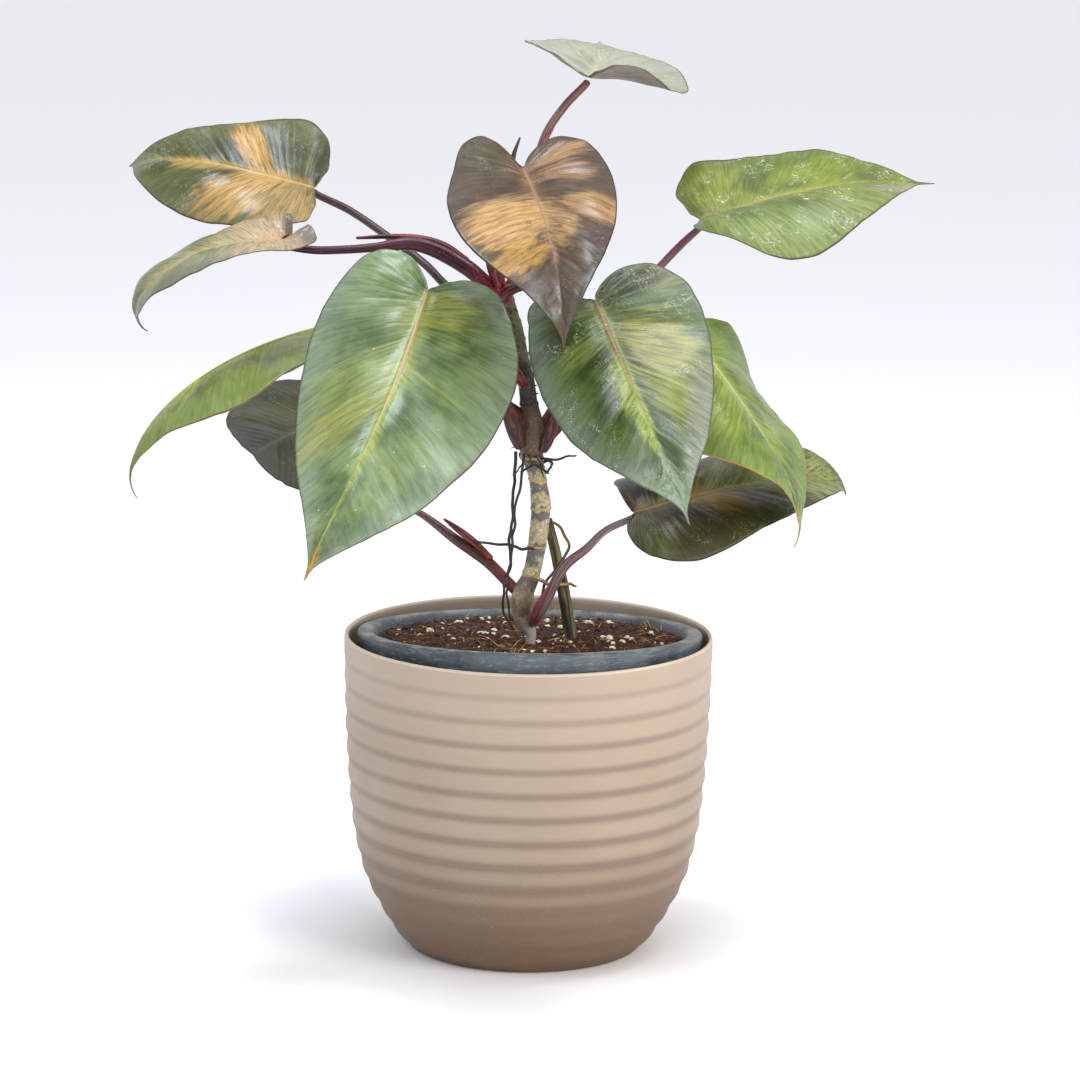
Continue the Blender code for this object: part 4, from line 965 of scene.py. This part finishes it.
stumpRoute = ((28, -12, 172, 3.5), (26, -12, 186, 3.6), (20, -13, 220, 3.6), (15, -14, 243, 3.2),
              (10, -15, 263, 2.8))
budRoute = ((-16, -17, 410, 2.6), (-15, -10, 434, 3.2), (-14, -5, 462, 2.4), (-13, -4, 475, 1.5),
            (-9, -2, 487, 0.5))
roots = {
    "root_hanging_long": ((-9, -44, 202, 0.7), (-15, -44, 214, 0.8), (-15, -44, 229, 0.8), (-12, -43, 240, 0.9),
                          (-12, -43, 251, 0.9), (-10, -43, 280, 0.9), (-9, -42, 308, 1.0)),
    "root_hanging_short": ((-11, -48, 209, 0.6), (-13, -49, 226, 0.7), (-11, -49, 247, 0.8), (-9, -48, 268, 0.8),
                           (-6, -46, 290, 0.8), (-4, -42, 307, 0.8)),
    "root_loop": ((7, -20, 213, 0.8), (10, -24, 226, 0.9), (23, -25, 246, 0.9), (20, -24, 256, 0.9),
                  (13, -20, 262, 0.8)),
    "root_wrap": ((2, -36, 232, 1.2), (5, -38, 231, 1.2), (12, -36, 227, 1.1), (22, -22, 225, 1.0),
                  (28, -10, 221, 0.8)),
    "root_side_low": ((3, -34, 248, 1.0), (-9, -40, 251, 0.9), (-29, -36, 252, 0.7), (-40, -30, 256, 0.4)),
    "root_side_high": ((4, -34, 302, 0.8), (17, -36, 303, 0.7), (27, -38, 305, 0.5)),
}
stemMake = {"ringHeights": (232, 249, 272, 289, 302, 334, 349, 361, 372, 383, 393), "ringWidth": 0.9,
            "ringRise": 0.11, "thorns": 16}


def stalkMaterial(name, colours):
    # living stalk skin: smooth and glossy, dark red over green, with pale pores
    material, shader = newMaterial(name, colours[0], 0.32, Specular_IOR_Level=0.38)
    place = objectPlace(material)
    uv = addNode(material, "ShaderNodeUVMap", uv_map="UVMap").outputs[0]
    along = addNode(material, "ShaderNodeSeparateXYZ", {0: uv}).outputs[1]
    lengthwise = addNode(material, "ShaderNodeMapping", {"Vector": uv, "Scale": (22, 3, 1)}).outputs[0]
    streak = noiseNode(material, lengthwise, 1.0, 4, 0.6, 0.3)
    tone = blendNode(material, rampNode(material, streak, 0.42, 0.68), colours[0], colours[1])
    tone = blendNode(material, rampNode(material, along, 0.0, 0.22, 0.8, 0.0), tone, colours[2])
    pores = noiseNode(material, place, 1 / (1.2 * mm), 2, 0.6)
    tone = blendNode(material, rampNode(material, pores, 0.64, 0.72, 0.0, 0.55), tone, "#a58c86")
    linkFinish(material, shader, tone, rampNode(material, streak, 0.3, 0.7, 0.28, 0.42), streak, 0.25, 0.7)
    return material


def barkMaterial():
    # the old stem's skin: beige internodes with purple-grey blotches and yellow ring scars, black where it corked
    material, shader = newMaterial("corkedStemSkin", "#a3977a", 0.5)
    place = objectPlace(material)
    z = addNode(material, "ShaderNodeSeparateXYZ", {0: place}).outputs[2]
    blotch = noiseNode(material, place, 1 / (9 * mm), 4, 0.6, 0.4)
    fine = noiseNode(material, place, 1 / (1.6 * mm), 4, 0.65)
    tone = blendNode(material, rampNode(material, fine, 0.35, 0.65), "#998c66", "#d0c39d")
    tone = blendNode(material, rampNode(material, blotch, 0.54, 0.62, 0.0, 0.5), tone, "#6a5f58")
    # low down the skin is pinkish brown, at the very foot pale grey
    tone = blendNode(material, mathNode(material, "MULTIPLY", rampNode(material, z, 0.224, 0.232, 1.0, 0.0),
                                        rampNode(material, blotch, 0.36, 0.62, 0.15, 1.0)), tone, "#7b6356")
    tone = blendNode(material, rampNode(material, z, 0.198, 0.206, 0.9, 0.0), tone, "#a6a29b")
    # up from the crowded node it turns dark brown, then olive, then crimson at the top
    tone = blendNode(material, rampNode(material, z, 0.296, 0.303, 0.0, 0.9), tone, "#4a2a1f")
    tone = blendNode(material, rampNode(material, z, 0.325, 0.336, 0.0, 0.9), tone, "#1f1916")
    tone = blendNode(material, mathNode(material, "MULTIPLY", rampNode(material, z, 0.352, 0.366, 0.0, 0.85),
                                        rampNode(material, blotch, 0.4, 0.6, 0.4, 1.0)), tone, "#5c5a3a")
    tone = blendNode(material, rampNode(material, z, 0.389, 0.398, 0.0, 0.9), tone, "#7c1d2a")
    for height in stemMake["ringHeights"][:5]:
        # a purple-grey blotch hangs below every scar
        below = mathNode(material, "SUBTRACT", height * mm, z)
        below = mathNode(material, "MULTIPLY_ADD", mathNode(material, "SUBTRACT", blotch, 0.5), 0.03, below)
        band = mathNode(material, "MULTIPLY", rampNode(material, below, 0.0, 0.0012, 0.0, 0.85),
                        rampNode(material, below, 0.005, 0.0085, 1.0, 0.0))
        tone = blendNode(material, band, tone, "#57505a")
        away = mathNode(material, "ABSOLUTE", mathNode(material, "SUBTRACT", z, height * mm))
        wobble = mathNode(material, "MULTIPLY_ADD", blotch, 0.0016, away)
        tone = blendNode(material, rampNode(material, wobble, 0.0012, 0.0019, 0.85, 0.0), tone, "#c6a765")
        tone = blendNode(material, rampNode(material, wobble, 0.0005, 0.001, 0.8, 0.0), tone, "#4f3a2c")
    pores = noiseNode(material, place, 1 / (0.9 * mm), 2)
    tone = blendNode(material, rampNode(material, pores, 0.64, 0.72, 0.0, 0.5), tone, "#d8d2c0")
    linkFinish(material, shader, tone, rampNode(material, fine, 0.3, 0.7, 0.42, 0.62), fine, 0.5, 0.8)
    return material


def dryMaterial(name, dark, light, roughness=0.6):
    # dry plant skin: dull, with lengthwise streaks
    material, shader = newMaterial(name, dark, roughness)
    uv = addNode(material, "ShaderNodeUVMap", uv_map="UVMap").outputs[0]
    lengthwise = addNode(material, "ShaderNodeMapping", {"Vector": uv, "Scale": (9, 3, 1)}).outputs[0]
    streak = noiseNode(material, lengthwise, 1.0, 4, 0.6, 0.5)
    patch = noiseNode(material, objectPlace(material), 1 / (7 * mm), 3)
    tone = blendNode(material, rampNode(material, streak, 0.45, 0.62), dark, light)
    tone = blendNode(material, rampNode(material, patch, 0.5, 0.7, 0.0, 0.5), tone, dark)
    linkFinish(material, shader, tone, None, streak, 0.3, 0.8)
    return material


def stemShape(angle, walked, line):
    # swollen rings at the leaf scars, and a slightly uneven barrel
    rise = np.ones_like(walked)
    for height in stemMake["ringHeights"]:
        tilt = height + 1.2 * np.cos(angle + height)
        rise += stemMake["ringRise"] * np.exp(-((line[:, 2] - tilt) / stemMake["ringWidth"]) ** 2)
    uneven = [noise.noise(Vector((math.cos(a) * 0.8, math.sin(a) * 0.8, w / 9))) for a, w in zip(angle, walked)]
    return rise + 0.07 * np.array(uneven)


def ridgedShape(angle, walked, line):
    uneven = [noise.noise(Vector((math.cos(a) * 1.5, math.sin(a) * 1.5, w / 22))) for a, w in zip(angle, walked)]
    return 1 + 0.06 * np.array(uneven) + 0.02 * np.sin(5 * angle)


def flatShape(flatness):
    def shape(angle, walked, line):
        return 1 / np.sqrt(np.cos(angle) ** 2 + (np.sin(angle) / flatness) ** 2)
    return shape


def addStalks():
    for name, route in stalks.items():
        colours = stalkColours.get(name, stalkColours["plain"])
        number = name[-2:]
        piece = addStalk("leafStalk" + number, route, 20, 1.2, ridgedShape, blunt=0.7)
        finishPiece(piece, "dark_red_stalk", [name], stalkMaterial("glossyStalkSkin" + number, colours))
    for name, route, like, flatness in sheaths:
        colours = stalkColours[like]
        piece = addStalk(name, route, 16, 0.9, flatShape(flatness))
        red = (colours[0], "#9c3a34", "#8c2a2a")
        finishPiece(piece, "dark_red_stalk", [], stalkMaterial(name + "Skin", red))
    for name, route in oldSheaths.items():
        piece = addStalk("splitSheath" + name[4:].title().replace("_", ""), route, 14, 0.8, flatShape(0.75))
        finishPiece(piece, "dark_red_stalk", [name], dryMaterial("driedSheath" + name[-4:], "#32140f", "#6e3a26"))


def addStems():
    bark = barkMaterial()
    stem = addStalk("climbingStem", stemRoute, 32, 0.7, stemShape)
    finishPiece(stem, "stem_bark", ["main_stem"], bark)
    stump = addStalk("cutStump", stumpRoute, 20, 0.9, ridgedShape, blunt=0.25)
    finishPiece(stump, "stem_bark", ["cut_stump"], dryMaterial("driedStumpSkin", "#33341f", "#877c4a"))
    bud = addStalk("budSpike", budRoute, 16, 1.2, flatShape(0.7))
    finishPiece(bud, "dark_red_stalk", ["bud_spike"], dryMaterial("closedBudSkin", "#1f1214", "#45282a", 0.35))
    draw = random.Random(5)
    thorns = []
    for _ in range(stemMake["thorns"]):
        z = draw.uniform(326, 390)
        line, _ = evenLine(stemRoute, 200)
        middle = line[np.argmin(np.abs(line[:, 2] - z))]
        angle = draw.uniform(0, 2 * math.pi)
        outward = np.array((math.cos(angle), math.sin(angle), 0.25))
        start = middle[:3] + outward * (middle[3] - 0.7)
        end = start + outward * draw.uniform(1.6, 3.2)
        thorns.append(addStalk("thorn", ((*start, 0.6), (*((start + end) / 2), 0.45), (*end, 0.2)), 8, 0.6))
    onlySelect(*thorns)
    bpy.ops.object.join()
    thorns[0].name = "rootStubs"
    finishPiece(thorns[0], "root_skin", [], dryMaterial("driedRootStubs", "#1d1512", "#4a3326"))


def addRoots():
    colours = {"root_wrap": ("#8a6c44", "#c4a672"), "root_loop": ("#4a3a20", "#9c7f3e")}
    for name, route in roots.items():
        dark, light = colours.get(name, ("#1c1311", "#4c342a"))
        title = name[5:].title().replace("_", "")
        piece = addStalk("aerialRoot" + title, route, 10, 1.0, ridgedShape, wander=1.8)
        finishPiece(piece, "root_skin", [name], dryMaterial("driedRoot" + title, dark, light))
    curl = []
    for step in range(20):
        angle = math.radians(-150 + 285 * step / 19)
        radius = 9.6 + 1.2 * math.sin(5 * angle)
        height = 296.5 + 2.5 * math.sin(3 * angle)
        curl.append((2 + radius * math.cos(angle), -30 + radius * math.sin(angle), height, 0.7))
    tuft = [addStalk("aerialRootCurl", curl, 10, 1.0, ridgedShape)]
    draw = random.Random(9)
    for _ in range(9):
        # short wiry rootlets that stand out of the crowded node
        angle = draw.uniform(0, 2 * math.pi)
        z = draw.uniform(296, 312)
        turn = draw.uniform(-1.6, 1.6)
        route = []
        for share in (0, 0.3, 0.6, 1):
            radius = 6.2 + 7 * share
            route.append((radius * math.cos(angle + turn * share), -30 + radius * math.sin(angle + turn * share),
                          z - 5 * share * share + 2 * math.sin(5 * share + z), 0.55 * (1.2 - share)))
        tuft.append(addStalk("rootlet", route, 8, 1.0))
    onlySelect(*tuft)
    bpy.ops.object.join()
    finishPiece(tuft[0], "root_skin", ["root_curl"], dryMaterial("driedRootTuft", "#1d1413", "#573729"))


addStalks()
addStems()
addRoots()
print("stalks, stems and roots done")
